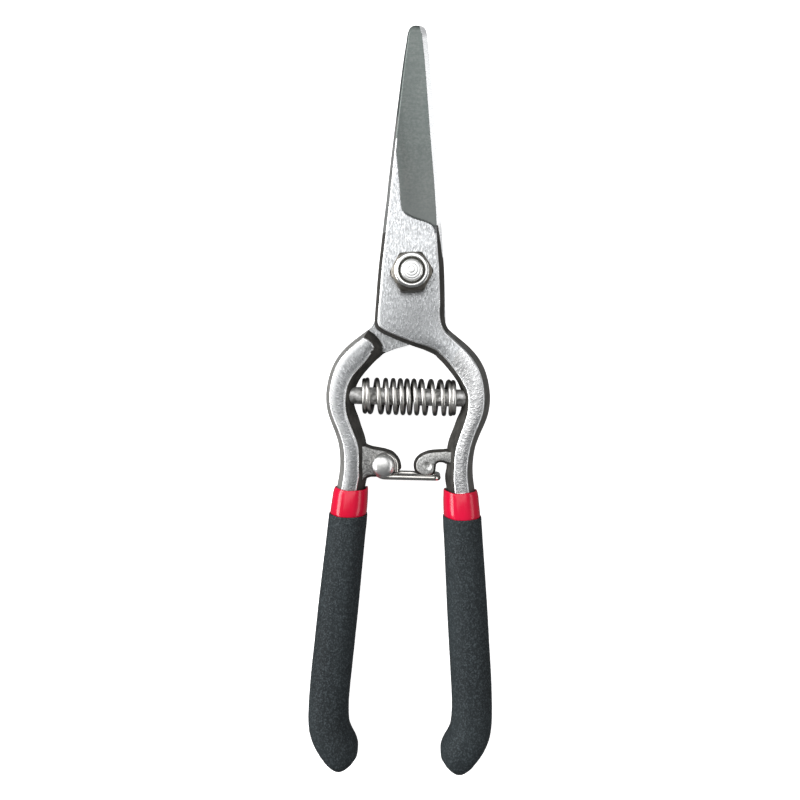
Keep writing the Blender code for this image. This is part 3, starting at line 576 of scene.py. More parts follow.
def face_height(x, y, h_left, rim_x):
    """Height of the outside face of the blade and plate at points x, y."""
    left = np.interp(y, [a for a, _ in GRIND_LEFT], [b for _, b in GRIND_LEFT])
    low = np.interp(x, [a for a, _ in GRIND_END], [b for _, b in GRIND_END])
    bevel = falling(BEVEL_H, y)
    share = np.clip((x - left) / np.maximum(rim_x - left, 0.4), 0, 1)
    ground = h_left + (bevel - h_left) * share - 0.16 * np.sin(np.pi * share) * ramp01(share * 3)
    into = ramp01((y - low) * 0.93 / 0.75) * ramp01((x - left) / 0.35)
    return h_left + (np.minimum(ground, h_left) - h_left) * into, into > 0.5


# Where the thick handle begins behind the plate: a rounded step, deep black at its foot, partly dark scale and partly
# painted shade.
STEP = [(13.0, -12.6), (12.0, -13.8), (11.1, -14.75), (10.35, -15.3), (9.5, -15.85), (8.75, -16.55), (8.05, -17.35), (7.5, -18.15),
        (7.12, -18.95), (6.95, -19.6), (6.95, -20.2), (7.2, -20.9), (7.5, -21.6), (7.8, -22.6), (8.0, -24.0)]
_a = np.array([0.5 * (np.array(STEP[max(k - 1, 0)]) * 0 + np.array(STEP[k]) * 2) for k in range(len(STEP))])
STEP_A, STEP_B = _a[:-1], _a[1:]


def step_share(x, y):
    """How much of the handle's depth is reached at points x, y: 0 on the plate, 1 on the handle."""
    p = np.stack([x, y], 1)[:, None, :]
    d = (STEP_B - STEP_A)[None]
    t = np.clip(np.sum((p - STEP_A[None]) * d, 2) / np.sum(d * d, 2), 0, 1)
    off = p - (STEP_A[None] + d * t[..., None])
    dist = np.sqrt(np.sum(off * off, 2))
    k = np.argmin(dist, 1)
    i = np.arange(len(k))
    cross = (STEP_B - STEP_A)[k, 0] * off[i, k, 1] - (STEP_B - STEP_A)[k, 1] * off[i, k, 0]
    signed = np.where(cross > 0, dist[i, k], -dist[i, k])
    t = np.clip(signed / 2.5, 0, 1)
    return 0.45 * t * t * (3 - 2 * t) + 0.55 * t ** 1.15, signed


def build_half(name, flip, mats):
    mid = (ROWS[:, 0:2] + ROWS[:, 2:4]) / 2
    chord = np.sqrt(
        (np.linalg.norm(np.diff(ROWS[:, 0:2], axis=0), axis=1) + 0.02)
        * (np.linalg.norm(np.diff(ROWS[:, 2:4], axis=0), axis=1) + 0.02)
    )
    t = np.concatenate([[0], np.cumsum(chord)])
    at = []
    for k in range(len(t) - 1):
        y = mid[k, 1]
        step = 0.3 if 9 < y < 21 else (0.45 if y > -58 else 1.2)
        if k < 6:
            step = 0.12
        if N_BLADE + N_PLATE - 7 < k < N_BLADE + N_PLATE + 5:
            step = 0.16
        n = max(1, int(math.ceil((t[k + 1] - t[k]) / step)))
        at += list(t[k] + (t[k + 1] - t[k]) * np.arange(n) / n)
    at = np.array(at + [t[-1]])
    P = np.zeros((len(at), ROWS.shape[1]))
    for c in range(ROWS.shape[1]):
        P[:, c] = (hermite if c < 4 else pchip)(t, ROWS[:, c], at)
    blade_end = t[N_BLADE + 1]
    step_start = t[N_BLADE + N_PLATE - 1]
    verts, zones, flow = [], [], []
    u = np.arange(TOP_N) / (TOP_N - 1)
    for s, row in zip(at, P):
        L, R = row[0:2], row[2:4]
        wide = np.linalg.norm(R - L)
        across = (R - L) / wide
        aL, aR, bL, bR, hL, hR, part, depth, honed = row[4:]
        p1, p3 = L + across * aL, R - across * aR
        p3b = R - across * min(honed, aR * 0.96)
        is_blade = s < blade_end
        arm = ramp01((s - step_start) / 14.0)
        # outside face
        xy = p1[None, :] * (1 - u)[:, None] + p3[None, :] * u[:, None]
        crown = np.sin(np.pi * u)
        if is_blade:
            z, inside = face_height(xy[:, 0], xy[:, 1], hL, p3[0])
            if xy[0, 1] < 9.0:
                k = ramp01((xy[:, 1] - 7.5) / 1.5)
                z = hL + (z - hL) * k
                z = z + 0.16 * crown * (1 - k)
        else:
            z = hL + (hR - hL) * u + 0.16 * crown
            inside = np.zeros(TOP_N, bool)
        # lap side: flat on the plate, down past the step to the handle's other face
        ends = np.stack([R, L])
        share_end, _ = step_share(ends[:, 0], ends[:, 1])
        near, _ = step_share(np.array([(R - across * bR)[0], (L + across * bL)[0]]), np.array([(R - across * bR)[1], (L + across * bL)[1]]))
        if s > step_start + 9:
            near = np.ones(2)
        p5, p6 = R - across * (0.02 + bR * near[0]), L + across * (0.02 + bL * near[1])
        xyb = p5[None, :] * (1 - u)[:, None] + p6[None, :] * u[:, None]
        share, signed = step_share(xyb[:, 0], xyb[:, 1])
        if s < step_start - 12:
            share = np.zeros(TOP_N)
            signed = np.full(TOP_N, -9.0)
        if s > step_start + 9:
            share = np.ones(TOP_N)
            signed = np.full(TOP_N, 9.0)
        zb = GAP * (1 - share) - depth * share - 0.16 * crown * np.clip((signed - 2.2) / 2.0, 0, 1)
        h3 = z[-1]
        rim = 0.42 if not is_blade else 0.26
        low_rim = lambda v: 0.03 + 0.42 * float(np.clip(v, 0, 1))
        corners = [
            (np.array([*L, part]), 0.12),
            (np.array([*p1, z[0]]), rim),
            (np.array([*p3, h3]), 0.42 if not is_blade else min(0.42, 0.06 + 0.3 * max(0.0, 20 - row[1]) / 8)),
            (np.array([*p3b, part + min((h3 - part) * (np.linalg.norm(R - p3b) / max(aR, 1e-6)), 0.62 * np.linalg.norm(R - p3b) if s < step_start - 6 else 99.0)]), 0.02),
            (np.array([*R, part]), 0.01 if is_blade else 0.12),
            (np.array([*p5, zb[0]]), low_rim(share[0])),
            (np.array([*p6, zb[-1]]), low_rim(share[-1])),
        ]
        ring, w = [], []
        n = len(corners)
        for i in range(n):
            p, d = corners[i]
            before, after = corners[i - 1][0], corners[(i + 1) % n][0]
            l1, l2 = np.linalg.norm(before - p), np.linalg.norm(after - p)
            c1 = p + (before - p) / max(l1, 1e-9) * min(d, 0.42 * l1)
            c2 = p + (after - p) / max(l2, 1e-9) * min(d, 0.42 * l2)
            for q in np.linspace(0, 1, CORNER_N):
                ring.append((1 - q) ** 2 * c1 + 2 * q * (1 - q) * p + q * q * c2)
            if i in (1, 5):
                p_next, d_next = corners[i + 1]
                l = np.linalg.norm(p - p_next)
                e = p_next + (p - p_next) / max(l, 1e-9) * min(d_next, 0.42 * l)
                heights = z if i == 1 else zb
                line = c2[None, :] * (1 - u)[:, None] + e[None, :] * u[:, None]
                line[:, 2] += heights - (heights[0] * (1 - u) + heights[-1] * u)
                ring += list(line[1:-1])
        ring = np.array(ring)
        verts.append(ring)
        span = (ring[:, :2] - L) @ across
        flow.append(np.stack([np.full(len(ring), s), span, wide - span - (bR if flip else aR)], 1))
        zones.append((s, inside, signed))
    verts = np.array(verts)
    rows, count = verts.shape[:2]
    T = TOP_N - 2
    starts = [0, CORNER_N, 2 * CORNER_N + T, 3 * CORNER_N + T, 4 * CORNER_N + T, 5 * CORNER_N + T, 6 * CORNER_N + 2 * T]
    flat = verts.reshape(-1, 3).copy()
    flow = np.array(flow).reshape(-1, 3)
    flat[:, 2] += LAP
    if flip:
        flat[:, 0] *= -1
        flat[:, 2] = 2 * LAP - flat[:, 2]
        flow = flow + np.array([37.0, 11.0, 0.0])
    faces = grid_faces(rows, count)
    index = np.zeros(len(faces), np.int32)
    # slots: 0 plate face (a darker copy on the rear half, painted shade), 1 arm face, 2 dark flank (partly painted
    # shade), 3 inner flank (painted shade), 4 outer flank (painted light on the left arm, painted shade on the right
    # arm), 5 ground (its dark tone painted shade), 6 honed, 7 lug, 8 spine flank (painted light), 9 edge rim (painted
    # highlight)
    face0, face1 = 2 * CORNER_N - 1, 2 * CORNER_N + T
    low0, low1 = 6 * CORNER_N + T - 1, 6 * CORNER_N + 2 * T
    for r in range(rows - 1):
        s = (zones[r][0] + zones[r + 1][0]) / 2
        y = (P[r][1] + P[r][3]) / 2
        blade = s < blade_end
        arm_top = s > step_start + 5
        for i in range(count):
            k = r * count + i
            if i < CORNER_N + 1:
                slot = (5 if y > 42 else (8 if y > 11 else 2)) if s < step_start - 6 else 3
            elif i < face0 + 1:
                slot = 9 if y < 36 else 5
            elif i < face1:
                slot = 5 if blade and zones[r][1][min(i - face0, TOP_N - 1)] else (1 if arm_top else 0)
            elif i < starts[2] + CORNER_N - 1:
                slot = (5 if y < 64.5 else 6) if blade and y > 13.0 else 9
            elif i < starts[3] + 2:
                slot = (6 if blade and y > 13.6 else 2) if s < step_start else 4
            elif i < starts[4] + CORNER_N - 1:
                slot = (6 if y > 3.5 else 2) if s < step_start else 4
            elif i < starts[5] + 1:
                slot = 2 if s < step_start else 4
            elif i < low1 + 1:
                v = zones[r][2][min(max(i - low0, 0), TOP_N - 1)]
                edge = i < low0 or i > low1 - 1
                if v <= 0.0:
                    slot = 0
                elif v < 2.12:
                    slot = 3
                elif v < 2.55 or edge or i < starts[5] + CORNER_N:
                    slot = 9
                else:
                    slot = 1
            elif i < starts[6] + CORNER_N - 1 and s > step_start + 3:
                slot = 9
            else:
                slot = (2 if s < step_start - 6 else 3) if s < step_start + 60 else 3
            index[k] = slot
    obj = add_object(name, flat, faces, mats, index, sharp=38)
    return obj, flat, flow


FRONT_MATS = [M_PLATE, M_ARM_R, M_FLANK, M_FLANK_IN, M_FLANK_R, M_GRIND, M_BEVEL, M_LUG, M_SPINE, M_RIM]
REAR_MATS = [M_PLATE_REAR, M_ARM_L, M_FLANK, M_FLANK_IN, M_FLANK_OUT, M_GRIND, M_BEVEL, M_LUG_L, M_SPINE, M_RIM]
front, front_points, front_flow = build_half("front_half_forging", False, FRONT_MATS)
rear, rear_points, rear_flow = build_half("rear_half_forging", True, REAR_MATS)

# ---- the two lugs of the latch
LATCH_LUG = [
    (-13.4, -46.2), (-11.2, -45.2), (-10.2, -45.5), (-9.0, -45.85), (-7.4, -46.1), (-5.9, -46.35), (-4.8, -46.7),
    (-3.6, -47.3), (-2.6, -48.1), (-1.95, -49.0), (-1.55, -50.0), (-1.35, -51.0), (-1.4, -51.7), (-1.75, -52.1),
    (-2.4, -52.45), (-3.7, -53.2), (-5.6, -53.9), (-8.0, -54.1), (-9.6, -54.2), (-10.6, -54.7), (-11.4, -55.5), (-13.4, -55.2),
]
KEEPER = [
    (13.4, -46.8), (10.8, -46.1), (9.6, -46.2), (8.2, -46.28), (6.8, -46.42), (5.6, -46.68), (4.5, -47.12), (3.4, -47.75),
    (2.6, -48.55), (2.1, -49.5), (1.92, -50.5), (2.05, -51.6), (2.45, -52.45), (3.1, -53.05), (4.0, -53.5), (5.1, -53.75),
    (6.2, -53.68), (7.0, -53.3), (7.55, -52.7), (7.8, -51.9), (7.88, -51.0), (8.0, -50.35), (8.5, -49.92), (9.2, -49.82),
    (10.0, -49.9), (10.7, -50.2), (13.4, -50.2),
]


def smooth_loop(points, per=6):
    p = np.array(points, float)
    n = len(p)
    out = []
    for i in range(n):
        p0, p1, p2, p3 = p[i - 1], p[i], p[(i + 1) % n], p[(i + 2) % n]
        for k in range(per):
            u = k / per
            out.append(
                0.5 * ((2 * p1) + (-p0 + p2) * u + (2 * p0 - 5 * p1 + 4 * p2 - p3) * u * u + (-p0 + 3 * p1 - 3 * p2 + p3) * u**3)
            )
    return np.array(out)


def inset_loop(loop, d):
    nxt, prv = np.roll(loop, -1, 0), np.roll(loop, 1, 0)
    tangent = nxt - prv
    tangent /= np.linalg.norm(tangent, axis=1)[:, None]
    area = np.sum(loop[:, 0] * nxt[:, 1] - nxt[:, 0] * loop[:, 1])
    normal = np.stack([-tangent[:, 1], tangent[:, 0]], 1) * (1 if area > 0 else -1)
    return loop + normal * d


def lug(name, outline, half, draft, mats, dimple=None):
    loop = smooth_loop(outline)
    profile = [(-half, draft + 0.32), (-half + 0.03, draft + 0.18), (-half + 0.13, draft + 0.06), (-half + 0.34, draft - 0.04),
               (-0.9, 0.26), (-0.12, 0.03), (0.0, 0.0), (0.12, 0.03), (0.9, 0.26),
               (half - 0.34, draft - 0.04), (half - 0.13, draft + 0.06), (half - 0.03, draft + 0.18), (half, draft + 0.32)]
    verts = []
    for z, d in profile:
        q = inset_loop(loop, d)
        verts += [(x, y, LAP + z) for x, y in q]
    n = len(loop)
    faces = grid_faces(len(profile), n)
    slots = []
    for k in range(len(faces)):
        r = k // n
        slots.append(3 if 2 <= r <= 9 and r < len(profile) - 1 else 7)
    slots[-1] = slots[-2] = 7
    obj = add_object(name, verts, faces, mats, slots, sharp=38)
    return obj


front_lug = lug("keeper_nose_shape", KEEPER, 2.4, 0.6, FRONT_MATS)
rear_lug = lug("latch_lug_shape", LATCH_LUG, 2.4, 0.65, REAR_MATS)


def unite(target, tool, how="UNION"):
    step = target.modifiers.new("lug", "BOOLEAN")
    step.operation, step.solver, step.object = how, "MANIFOLD", tool
    graph = bpy.context.evaluated_depsgraph_get()
    mesh = bpy.data.meshes.new_from_object(target.evaluated_get(graph))
    target.modifiers.clear()
    old = target.data
    target.data = mesh
    mesh.name = target.name
    bpy.data.meshes.remove(old)
    bpy.data.objects.remove(tool, do_unlink=True)
    mesh.shade_smooth()
    mesh.set_sharp_from_angle(angle=math.radians(38))


def add_flow(obj, points, flow):
    """Stores the along-and-across position on every vertex, for the grinding marks."""
    from mathutils.kdtree import KDTree

    tree = KDTree(len(points))
    for k, p in enumerate(points):
        tree.insert(Vector(p * MM), k)
    tree.balance()
    mesh = obj.data
    values = np.zeros((len(mesh.vertices), 3), np.float32)
    for v in mesh.vertices:
        _, k, far = tree.find(v.co)
        values[v.index] = flow[k] if far < 0.0012 else np.array(v.co) / MM
    layer = mesh.attributes.new("flow", "FLOAT_VECTOR", "POINT")
    layer.data.foreach_set("vector", values.ravel())


ball = lathe("punch_mark", [(1.9 * math.sin(a), -1.9 * math.cos(a) + LAP + 2.4 + 1.45) for a in np.linspace(0.08, math.pi - 0.08, 18)],
             [M_LUG], centre=(5.5, -50.75), n=40)
unite(front, front_lug)
unite(rear, rear_lug)
unite(front, ball, "DIFFERENCE")
add_flow(front, front_points, front_flow)
add_flow(rear, rear_points, rear_flow)
for obj, node, body in ((front, "front_half", "front_body"), (rear, "rear_half", "rear_body")):
    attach(obj, body)
    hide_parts(node)

# =========================================================================== hardware
NUT_Z = LAP + PLATE_T + 0.1
AF = 10.0
nut_profile = [
    (3.08, NUT_Z, 0), (4.95, NUT_Z, AF), (5.2, NUT_Z + 0.1, AF), (5.5, NUT_Z + 0.28, AF), (5.64, NUT_Z + 0.5, AF),
    (5.64, NUT_Z + 4.35, AF), (5.5, NUT_Z + 4.6, AF), (5.3, NUT_Z + 4.82, AF), (5.05, NUT_Z + 4.98, AF), (4.8, NUT_Z + 5.08, AF),
    (4.62, NUT_Z + 5.12, 0), (4.52, NUT_Z + 5.2, 0), (4.5, NUT_Z + 5.4, 0), (4.5, NUT_Z + 6.9, 0), (4.49, NUT_Z + 7.06, 0),
    (4.45, NUT_Z + 7.17, 0), (4.37, NUT_Z + 7.25, 0), (4.22, NUT_Z + 7.31, 0), (3.95, NUT_Z + 7.36, 0), (3.7, NUT_Z + 7.39, 0),
    (3.58, NUT_Z + 7.36, 0), (3.49, NUT_Z + 7.26, 0), (3.45, NUT_Z + 7.1, 0), (3.45, NUT_Z + 5.1, 0), (3.08, NUT_Z + 5.1, 0),
]
nut = lathe("locking_nut", [(r, z) for r, z, _ in nut_profile], [M_PLATED, M_HEX], hexes=[h for _, _, h in nut_profile],
            n=144, turn=math.radians(4), close=True, sharp=28, zone=lambda k: 1 if k < 12 else 0)
insert = lathe("nylon_ring", [(3.05, NUT_Z + 5.22), (3.46, NUT_Z + 5.22), (3.46, NUT_Z + 6.75), (3.42, NUT_Z + 6.84), (3.32, NUT_Z + 6.88),
                              (3.15, NUT_Z + 6.82), (3.06, NUT_Z + 6.7)], [M_NYLON], n=96, close=True, sharp=60)
TOP = LAP + 11.0
bolt_profile = [
    (0.4, 0.0, 0), (4.6, 0.0, AF), (4.85, 0.03, AF), (5.1, 0.14, AF), (5.4, 0.32, AF), (5.64, 0.55, AF), (5.64, 2.5, AF),
    (5.4, 2.66, AF), (4.9, 2.85, AF), (4.6, 2.87, 0), (3.0, 2.87, 0), (3.0, TOP - 0.55, 0), (2.98, TOP - 0.3, 0), (2.9, TOP - 0.1, 0),
    (2.72, TOP + 0.26, 0), (2.62, TOP + 0.4, 0), (2.46, TOP + 0.47, 0), (2.3, TOP + 0.44, 0), (2.16, TOP + 0.5, 0), (1.7, TOP + 0.55, 0),
    (1.6, TOP + 0.52, 0), (1.5, TOP + 0.56, 0), (0.95, TOP + 0.6, 0), (0.86, TOP + 0.57, 0), (0.78, TOP + 0.6, 0), (0.3, TOP + 0.62, 0),
]
bolt = lathe("pivot_bolt_body", [(r, z) for r, z, _ in bolt_profile], [M_BOLT, M_PLATED], hexes=[h for _, _, h in bolt_profile],
             n=96, sharp=28, zone=lambda k: 1 if k < 9 else 0)
UNDER = 3.35 + 0.75 + 0.15
rivet_profile = [
    (0.4, LAP - UNDER - 1.98), (1.1, LAP - UNDER - 1.93), (1.8, LAP - UNDER - 1.75), (2.4, LAP - UNDER - 1.42), (2.8, LAP - UNDER - 0.98),
    (2.97, LAP - UNDER - 0.5), (3.0, LAP - UNDER - 0.12), (2.92, LAP - UNDER), (1.35, LAP - UNDER), (1.35, LAP + UNDER), (3.02, LAP + UNDER),
    (3.12, LAP + UNDER + 0.1), (3.14, LAP + UNDER + 0.35), (3.05, LAP + UNDER + 0.75), (2.84, LAP + UNDER + 1.15), (2.5, LAP + UNDER + 1.54),
    (2.05, LAP + UNDER + 1.85), (1.5, LAP + UNDER + 2.06), (0.85, LAP + UNDER + 2.17), (0.3, LAP + UNDER + 2.2),
]
RIVET = (-6.15, -50.65)
rivet = lathe("rivet_domed", rivet_profile, [M_RIVET], centre=RIVET, n=96, sharp=45)
for obj, node, slot in ((nut, "pivot_nut", "plated_hardware"), (insert, "nut_insert", "nylon"), (bolt, "pivot_bolt", "plated_hardware"),
                        (rivet, "latch_rivet", "plated_hardware")):
    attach(obj, "rear_body")
    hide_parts(node)

# =========================================================================== pegs and spring
SPRING_Y = -32.5
PEG_R = 2.3


def peg(name, side, root, tip, dimple_x):
    """A turned pin with a domed end and one punched dimple on its front."""
    xs = list(np.linspace(root, tip + 0.9, 90)) + [tip + 0.9 - 0.9 * math.sin(a) for a in np.linspace(0.12, math.pi / 2, 9)]
    verts = []
    n = 64
    for x in xs:
        q = max(0.0, (tip + 0.9 - x) / 0.9)
        r = PEG_R - 1.7 * (1 - math.sqrt(max(0.0, 1 - q * q)))
        for i in range(n):
            a = 2 * math.pi * i / n
            y, z = r * math.sin(a), r * math.cos(a)
            d2 = (x - abs(dimple_x)) ** 2 + y * y
            if z > 0:
                z -= 0.55 * math.exp(-d2 / 0.28) - 0.16 * math.exp(-((math.sqrt(d2) - 0.95) ** 2) / 0.05)
            verts.append((side * x, SPRING_Y + y, LAP + z))
    return add_object(name, verts, grid_faces(len(xs), n), [M_PEG], sharp=45)


peg_l = peg("peg_left_pin", -1, 17.2, 0.6, 9.1)
peg_r = peg("peg_right_pin", 1, 17.2, 1.4, 8.2)
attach(peg_l, "rear_body")
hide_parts("spring_peg_left")
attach(peg_r, "front_body")
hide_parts("spring_peg_right")

PASS_X = [-12.3, -11.62, -10.62, -7.75, -5.6, -3.62, -1.72, 0.05, 1.92, 4.0, 6.65, 9.1, 11.15, 12.1, 12.45]
turns = np.arange(len(PASS_X)) - 1.0
at = np.linspace(-0.35, 12.35, 12 * 44)
xs = hermite(turns, PASS_X, at)
mid_share = np.abs(at - 6) / 6.3
radius = 4.4 - 0.26 * mid_share**7
ang = 2 * math.pi * at
# the pass nearest the nut side comes at each whole turn
path = np.stack([xs, SPRING_Y + radius * np.sin(-ang), LAP + radius * np.cos(ang)], 1)
spring = tube("return_coil_spring", path, 0.6, 14, [M_SPRING])
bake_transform(spring)
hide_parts("return_spring")

# =========================================================================== the bail
EYE_R, BAIL_Z, END_X = 2.85, 3.35, 8.4
EYE_F, EYE_B = (-5.6, -50.85), (-5.6, -50.4)


def eye(c, z, back):
    a = np.radians(np.linspace(0, 270, 60))
    p = np.stack([c[0] + EYE_R * np.cos(a), c[1] + EYE_R * np.sin(a), np.full(len(a), LAP + z)], 1)
    tail = np.stack([np.full(6, c[0] + EYE_R), c[1] - np.linspace(1.45, 0.25, 6), np.full(6, LAP + z)], 1)
    p = np.concatenate([tail, p])
    return p[::-1] if back else p


fy, by = EYE_F[1] - EYE_R, EYE_B[1] - EYE_R
bend = 1.3
a = np.linspace(0, math.pi / 2, 14)
leg_f = np.stack([np.linspace(EYE_F[0] + 0.5, END_X - bend - 0.4, 26), np.full(26, fy), np.full(26, LAP + BAIL_Z)], 1)
corner_f = np.stack([END_X - bend + bend * np.sin(a), np.full(14, fy), LAP + BAIL_Z - bend + bend * np.cos(a)], 1)
cross = np.stack([np.full(6, END_X), np.linspace(fy, by, 8)[1:-1], np.linspace(LAP + BAIL_Z - bend, LAP - BAIL_Z + bend, 8)[1:-1]], 1)
corner_b = np.stack([END_X - bend + bend * np.cos(a), np.full(14, by), LAP - BAIL_Z + bend - bend * np.sin(a)], 1)
leg_b = np.stack([np.linspace(END_X - bend - 0.4, EYE_B[0] + 0.5, 26), np.full(26, by), np.full(26, LAP - BAIL_Z)], 1)
bail_path = np.concatenate([eye(EYE_F, BAIL_Z, False), leg_f, corner_f, cross, corner_b, leg_b, eye(EYE_B, -BAIL_Z, True)])
bail = tube("latch_wire_bail", bail_path, 0.75, 18, [M_BAIL])
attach(bail, "bail_body")
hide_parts("latch_bail")

# =========================================================================== grips
OUTER_X = [(-56.9, 18.95), (-58.2, 19.35), (-60.0, 19.6), (-65.0, 20.4), (-70.0, 20.85), (-80.0, 21.8), (-90.0, 22.7), (-100.0, 23.5),
           (-105.0, 23.93), (-110.0, 24.25), (-115.0, 24.46), (-118.0, 24.5), (-120.0, 24.37), (-122.0, 24.1), (-124.0, 23.5),
           (-126.0, 22.6), (-128.0, 21.35), (-130.0, 19.8)]
INNER_X = [(-56.9, 10.1), (-60.0, 10.05), (-65.0, 10.12), (-70.0, 10.5), (-80.0, 11.2), (-90.0, 11.9), (-100.0, 12.7), (-105.0, 13.1),
           (-110.0, 13.5), (-115.0, 13.77), (-118.0, 13.68), (-120.0, 13.42), (-122.0, 12.6), (-124.0, 11.5), (-126.0, 10.97),
           (-128.0, 11.1), (-130.0, 12.24)]
END_Y = -132.58


def grip_section(y):
    """(middle, half width, half depth) of the black cover's outside at height y."""
    if y >= -130.0:
        o, i = falling(OUTER_X, y)[0], falling(INNER_X, y)[0]
        depth = falling([(-64.0, 6.5), (-118.0, 6.5), (-124.0, 6.5), (-127.0, 6.3), (-130.0, 5.5)], y)[0]
        return (o + i) / 2, (o - i) / 2, depth
    s = math.sqrt(max(y - END_Y, 0.0))
    half = pchip([0, 0.52, 1.127, 1.507, 1.6186], [0.0, 0.98, 2.45, 3.5, 3.78], [s])[0]
    depth = pchip([0, 0.52, 1.127, 1.507, 1.6186], [0.0, 2.3, 4.2, 5.2, 5.5], [s])[0]
    middle = pchip([0, 0.52, 1.127, 1.507, 1.6186], [16.02, 16.0, 15.98, 16.0, 16.02], [s])[0]
    return middle, half, depth


def ring_points(side, y, middle, half, depth, n, flat=0.8, wobble=0.0, dip=0.0):
    out = []
    for i in range(n):
        a = 2 * math.pi * (i + 0.5) / n
        c, s = math.cos(a), math.sin(a)
        x = middle + half * math.copysign(abs(c) ** flat, c)
        z = depth * math.copysign(abs(s) ** flat, s)
        out.append((side * x, y + wobble * math.sin(2 * a + 0.7) + 0.6 * wobble * math.sin(5 * a + 2 * side) - dip * abs(s) ** 1.5, LAP + z))
    return out


def value_noise(p, scale, seed):
    """Smooth random values between -1 and 1 at points p."""
    q = p * scale
    base = np.floor(q).astype(np.int64)
    f = q - base
    f = f * f * (3 - 2 * f)
    total = np.zeros(len(p))
    for dx in (0, 1):
        for dy in (0, 1):
            for dz in (0, 1):
                h = (base[:, 0] + dx) * 73856093 ^ (base[:, 1] + dy) * 19349663 ^ (base[:, 2] + dz) * 83492791 ^ seed * 2654435761
                h = (h ^ (h >> 13)) * 1274126177
                value = ((h ^ (h >> 16)) & 65535) / 32767.5 - 1
                w = (f[:, 0] if dx else 1 - f[:, 0]) * (f[:, 1] if dy else 1 - f[:, 1]) * (f[:, 2] if dz else 1 - f[:, 2])
                total += w * value
    return total


def pebble(obj, low_y, high_y, amount):
    """Raises a fine leathery skin on the outside of a grip."""
    mesh = obj.data
    count = len(mesh.vertices)
    co, no = np.zeros(count * 3), np.zeros(count * 3)
    mesh.vertices.foreach_get("co", co)
    mesh.vertices.foreach_get("normal", no)
    co, no = co.reshape(-1, 3), no.reshape(-1, 3)
    p = co / MM
    lift = 0.5 * value_noise(p, 1.75, 3) + 0.5 * value_noise(p, 2.9, 8)
    mask = np.clip((high_y - p[:, 1]) / 0.8, 0, 1)
    outside = np.arange(count) >= obj["first_outside"]
    co += no * (lift * amount * mask * outside)[:, None] * MM
    mesh.vertices.foreach_set("co", co.ravel())
    mesh.update()


def cover(side, name):
    n = 132
    rows = []
    # inside, from the closed end up to the rim
    for y in list(np.linspace(-131.4, -110, 24)) + list(np.linspace(-108, -66.0, 16)):
        m, h, d = grip_section(y)
        rows.append(ring_points(side, y, m, max(h - 0.47, 0.4), max(d - 0.47, 0.4), n))
    m, h, d = grip_section(-64.6)
    for dy, less in ((0.0, 0.47), (0.42, 0.44), (0.58, 0.36), (0.66, 0.24), (0.62, 0.12), (0.45, 0.04), (0.1, 0.0)):
        rows.append(ring_points(side, -64.5 + dy, m, h - less, d - less, n, wobble=0.08, dip=0.42))
    first = len(rows) * n
    for y in list(np.linspace(-65.35, -116, 150)) + list(np.linspace(-116.3, -129.8, 46)):
        m, h, d = grip_section(y)
        rows.append(ring_points(side, y, m, h - 0.03, d - 0.03, n))
    top = math.sqrt(-130.0 - END_Y)
    for s in np.linspace(top, 0.1, 24):
        y = END_Y + s * s
        m, h, d = grip_section(y)
        rows.append(ring_points(side, y, m, max(h - 0.03, 0.12), max(d - 0.03, 0.12), n))
    verts = np.array([p for r in rows for p in r])
    obj = add_object(name, verts, grid_faces(len(rows), n), [M_BLACK], sharp=None)
    obj["first_outside"] = first
    pebble(obj, -134, -64.9, 0.045)
    return obj


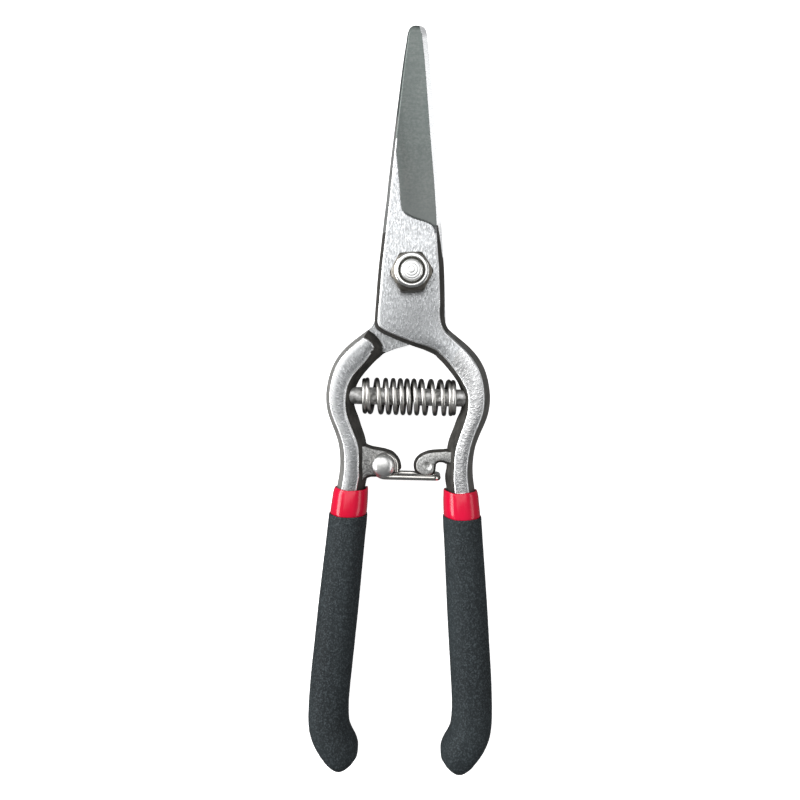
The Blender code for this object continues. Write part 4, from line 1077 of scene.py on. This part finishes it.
def base(side, name):
    """The red dip: a glossy collar with a rolled upper edge, running on under the cover."""
    n = 72
    rows = []
    for y, less, d in ((-126.5, 1.2, 4.9), (-125.0, 1.2, 5.2), (-123.5, 1.18, 5.25), (-122.0, 1.18, 5.25), (-120.5, 1.18, 5.25),
                       (-119.0, 1.18, 5.25), (-117.0, 1.18, 5.25), (-114.0, 1.18, 5.25), (-110.0, 1.18, 5.25), (-103.0, 1.18, 5.25),
                       (-95.0, 1.18, 5.25), (-88.0, 1.18, 5.25), (-80.0, 1.18, 5.25),
                       (-68.0, 1.15, 5.25), (-64.0, 1.05, 5.2), (-60.0, 0.62, 5.2), (-57.6, 0.42, 5.15)):
        m, h, _ = grip_section(max(y, -129))
        if y > -65:
            m, h = (falling(OUTER_X, y)[0] + falling(INNER_X, y)[0]) / 2, (falling(OUTER_X, y)[0] - falling(INNER_X, y)[0]) / 2
        rows.append(ring_points(side, y, m, h - less, d, n))
    for y, less, d in ((-57.1, 0.42, 5.15), (-56.92, 0.34, 5.22), (-56.86, 0.22, 5.34), (-56.9, 0.10, 5.46), (-57.05, 0.03, 5.55),
                       (-57.4, 0.0, 5.62), (-58.4, 0.0, 5.72), (-60.0, 0.03, 5.84), (-62.0, 0.1, 5.92), (-63.7, 0.2, 5.95),
                       (-64.2, 0.62, 5.88), (-66.0, 0.62, 5.88), (-73.0, 0.62, 5.88), (-80.0, 0.62, 5.88), (-88.0, 0.62, 5.88), (-95.0, 0.62, 5.88),
                       (-103.0, 0.62, 5.88), (-110.0, 0.62, 5.88), (-114.0, 0.62, 5.88), (-117.0, 0.62, 5.88), (-118.5, 0.62, 5.88),
                       (-119.5, 0.62, 5.88), (-120.5, 0.62, 5.88), (-121.5, 0.62, 5.88), (-122.5, 0.62, 5.88), (-123.5, 0.62, 5.86),
                       (-124.5, 0.62, 5.82), (-126.0, 0.62, 5.7), (-127.5, 0.64, 5.5), (-129.0, 0.68, 5.1), (-130.3, 0.8, 4.3)):
        m, h, _ = grip_section(y)
        if y > -65:
            m, h = (falling(OUTER_X, y)[0] + falling(INNER_X, y)[0]) / 2, (falling(OUTER_X, y)[0] - falling(INNER_X, y)[0]) / 2
        fade = float(ramp01((y + 59.4) / 2.0))
        rows.append(ring_points(side, y, m, h - less, d, n, wobble=0.11 * fade, dip=0.5 * fade))
    return add_object(name, np.array([p for r in rows for p in r]), grid_faces(len(rows), n), [M_RED], sharp=60)


for side, body, word in ((-1, "rear_body", "left"), (1, "front_body", "right")):
    c = cover(side, f"grip_cover_{word}_textured")
    b = base(side, f"grip_base_{word}_collar")
    for obj, node, slot in ((c, f"grip_cover_{word}", "black_pvc"), (b, f"grip_base_{word}", "red_pvc")):
        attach(obj, body)
        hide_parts(node)

# =========================================================================== stage, light, camera
floor_mat = Nodes("pale_floor")
floor_mat.set(Base_Color=(0.90, 0.90, 0.90), Roughness=0.9)
floor_mat.shader.inputs["Specular IOR Level"].default_value = 0.1
floor_mat.shader.inputs["Emission Color"].default_value = (1, 1, 1, 1)
floor_mat.shader.inputs["Emission Strength"].default_value = 0.9
fm = bpy.data.meshes.new("floor")
fm.from_pydata([(-3, -3, -0.0004), (3, -3, -0.0004), (3, 3, -0.0004), (-3, 3, -0.0004)], [], [(0, 1, 2, 3)])
fm.materials.append(floor_mat.mat)
floor = bpy.data.objects.new("floor", fm)
SCENE.collection.objects.link(floor)
floor.visible_glossy = False
floor.visible_diffuse = False

world = bpy.data.worlds.new("studio")
SCENE.world = world
world.use_nodes = True
background = world.node_tree.nodes.get("Background") or world.node_tree.nodes.new("ShaderNodeBackground")
background.inputs["Color"].default_value = (0.95, 0.975, 1.0, 1.0)
background.inputs["Strength"].default_value = 0.15


def softbox(name, location, target, size, radiance, colour=(1, 1, 1)):
    data = bpy.data.lights.new(name, "AREA")
    data.shape = "RECTANGLE"
    data.size, data.size_y = size
    data.energy = radiance * math.pi * size[0] * size[1]
    data.color = colour
    obj = bpy.data.objects.new(name, data)
    obj.location = location
    direction = Vector(target) - Vector(location)
    obj.rotation_euler = direction.to_track_quat("-Z", "Y").to_euler()
    SCENE.collection.objects.link(obj)
    return obj


softbox("top", (-0.10, 0.38, 0.90), (0, -0.03, 0), (0.9, 0.95), 1.55)
softbox("key_left", (-0.85, 0.12, 0.50), (0, -0.03, 0), (1.3, 0.42), 7.0)
softbox("fill_right", (0.85, 0.0, 0.47), (0, 0.0, 0), (1.2, 0.34), 2.0)

cam_data = bpy.data.cameras.new("camera")
cam_data.sensor_width = 36
cam_data.lens = 36 / (2 * (400 * 0.2674 / 240.0))
cam_data.shift_y = -0.0125
cam = bpy.data.objects.new("camera", cam_data)
cam.location = (-2.22 * MM, -30.74 * MM, (LAP + 240) * MM)
cam.rotation_euler = (0, 0, math.radians(1.45))
cam_data.clip_start, cam_data.clip_end = 0.01, 10
SCENE.collection.objects.link(cam)
SCENE.camera = cam
SCENE.view_settings.view_transform = "Standard"
SCENE.view_settings.look = "None"
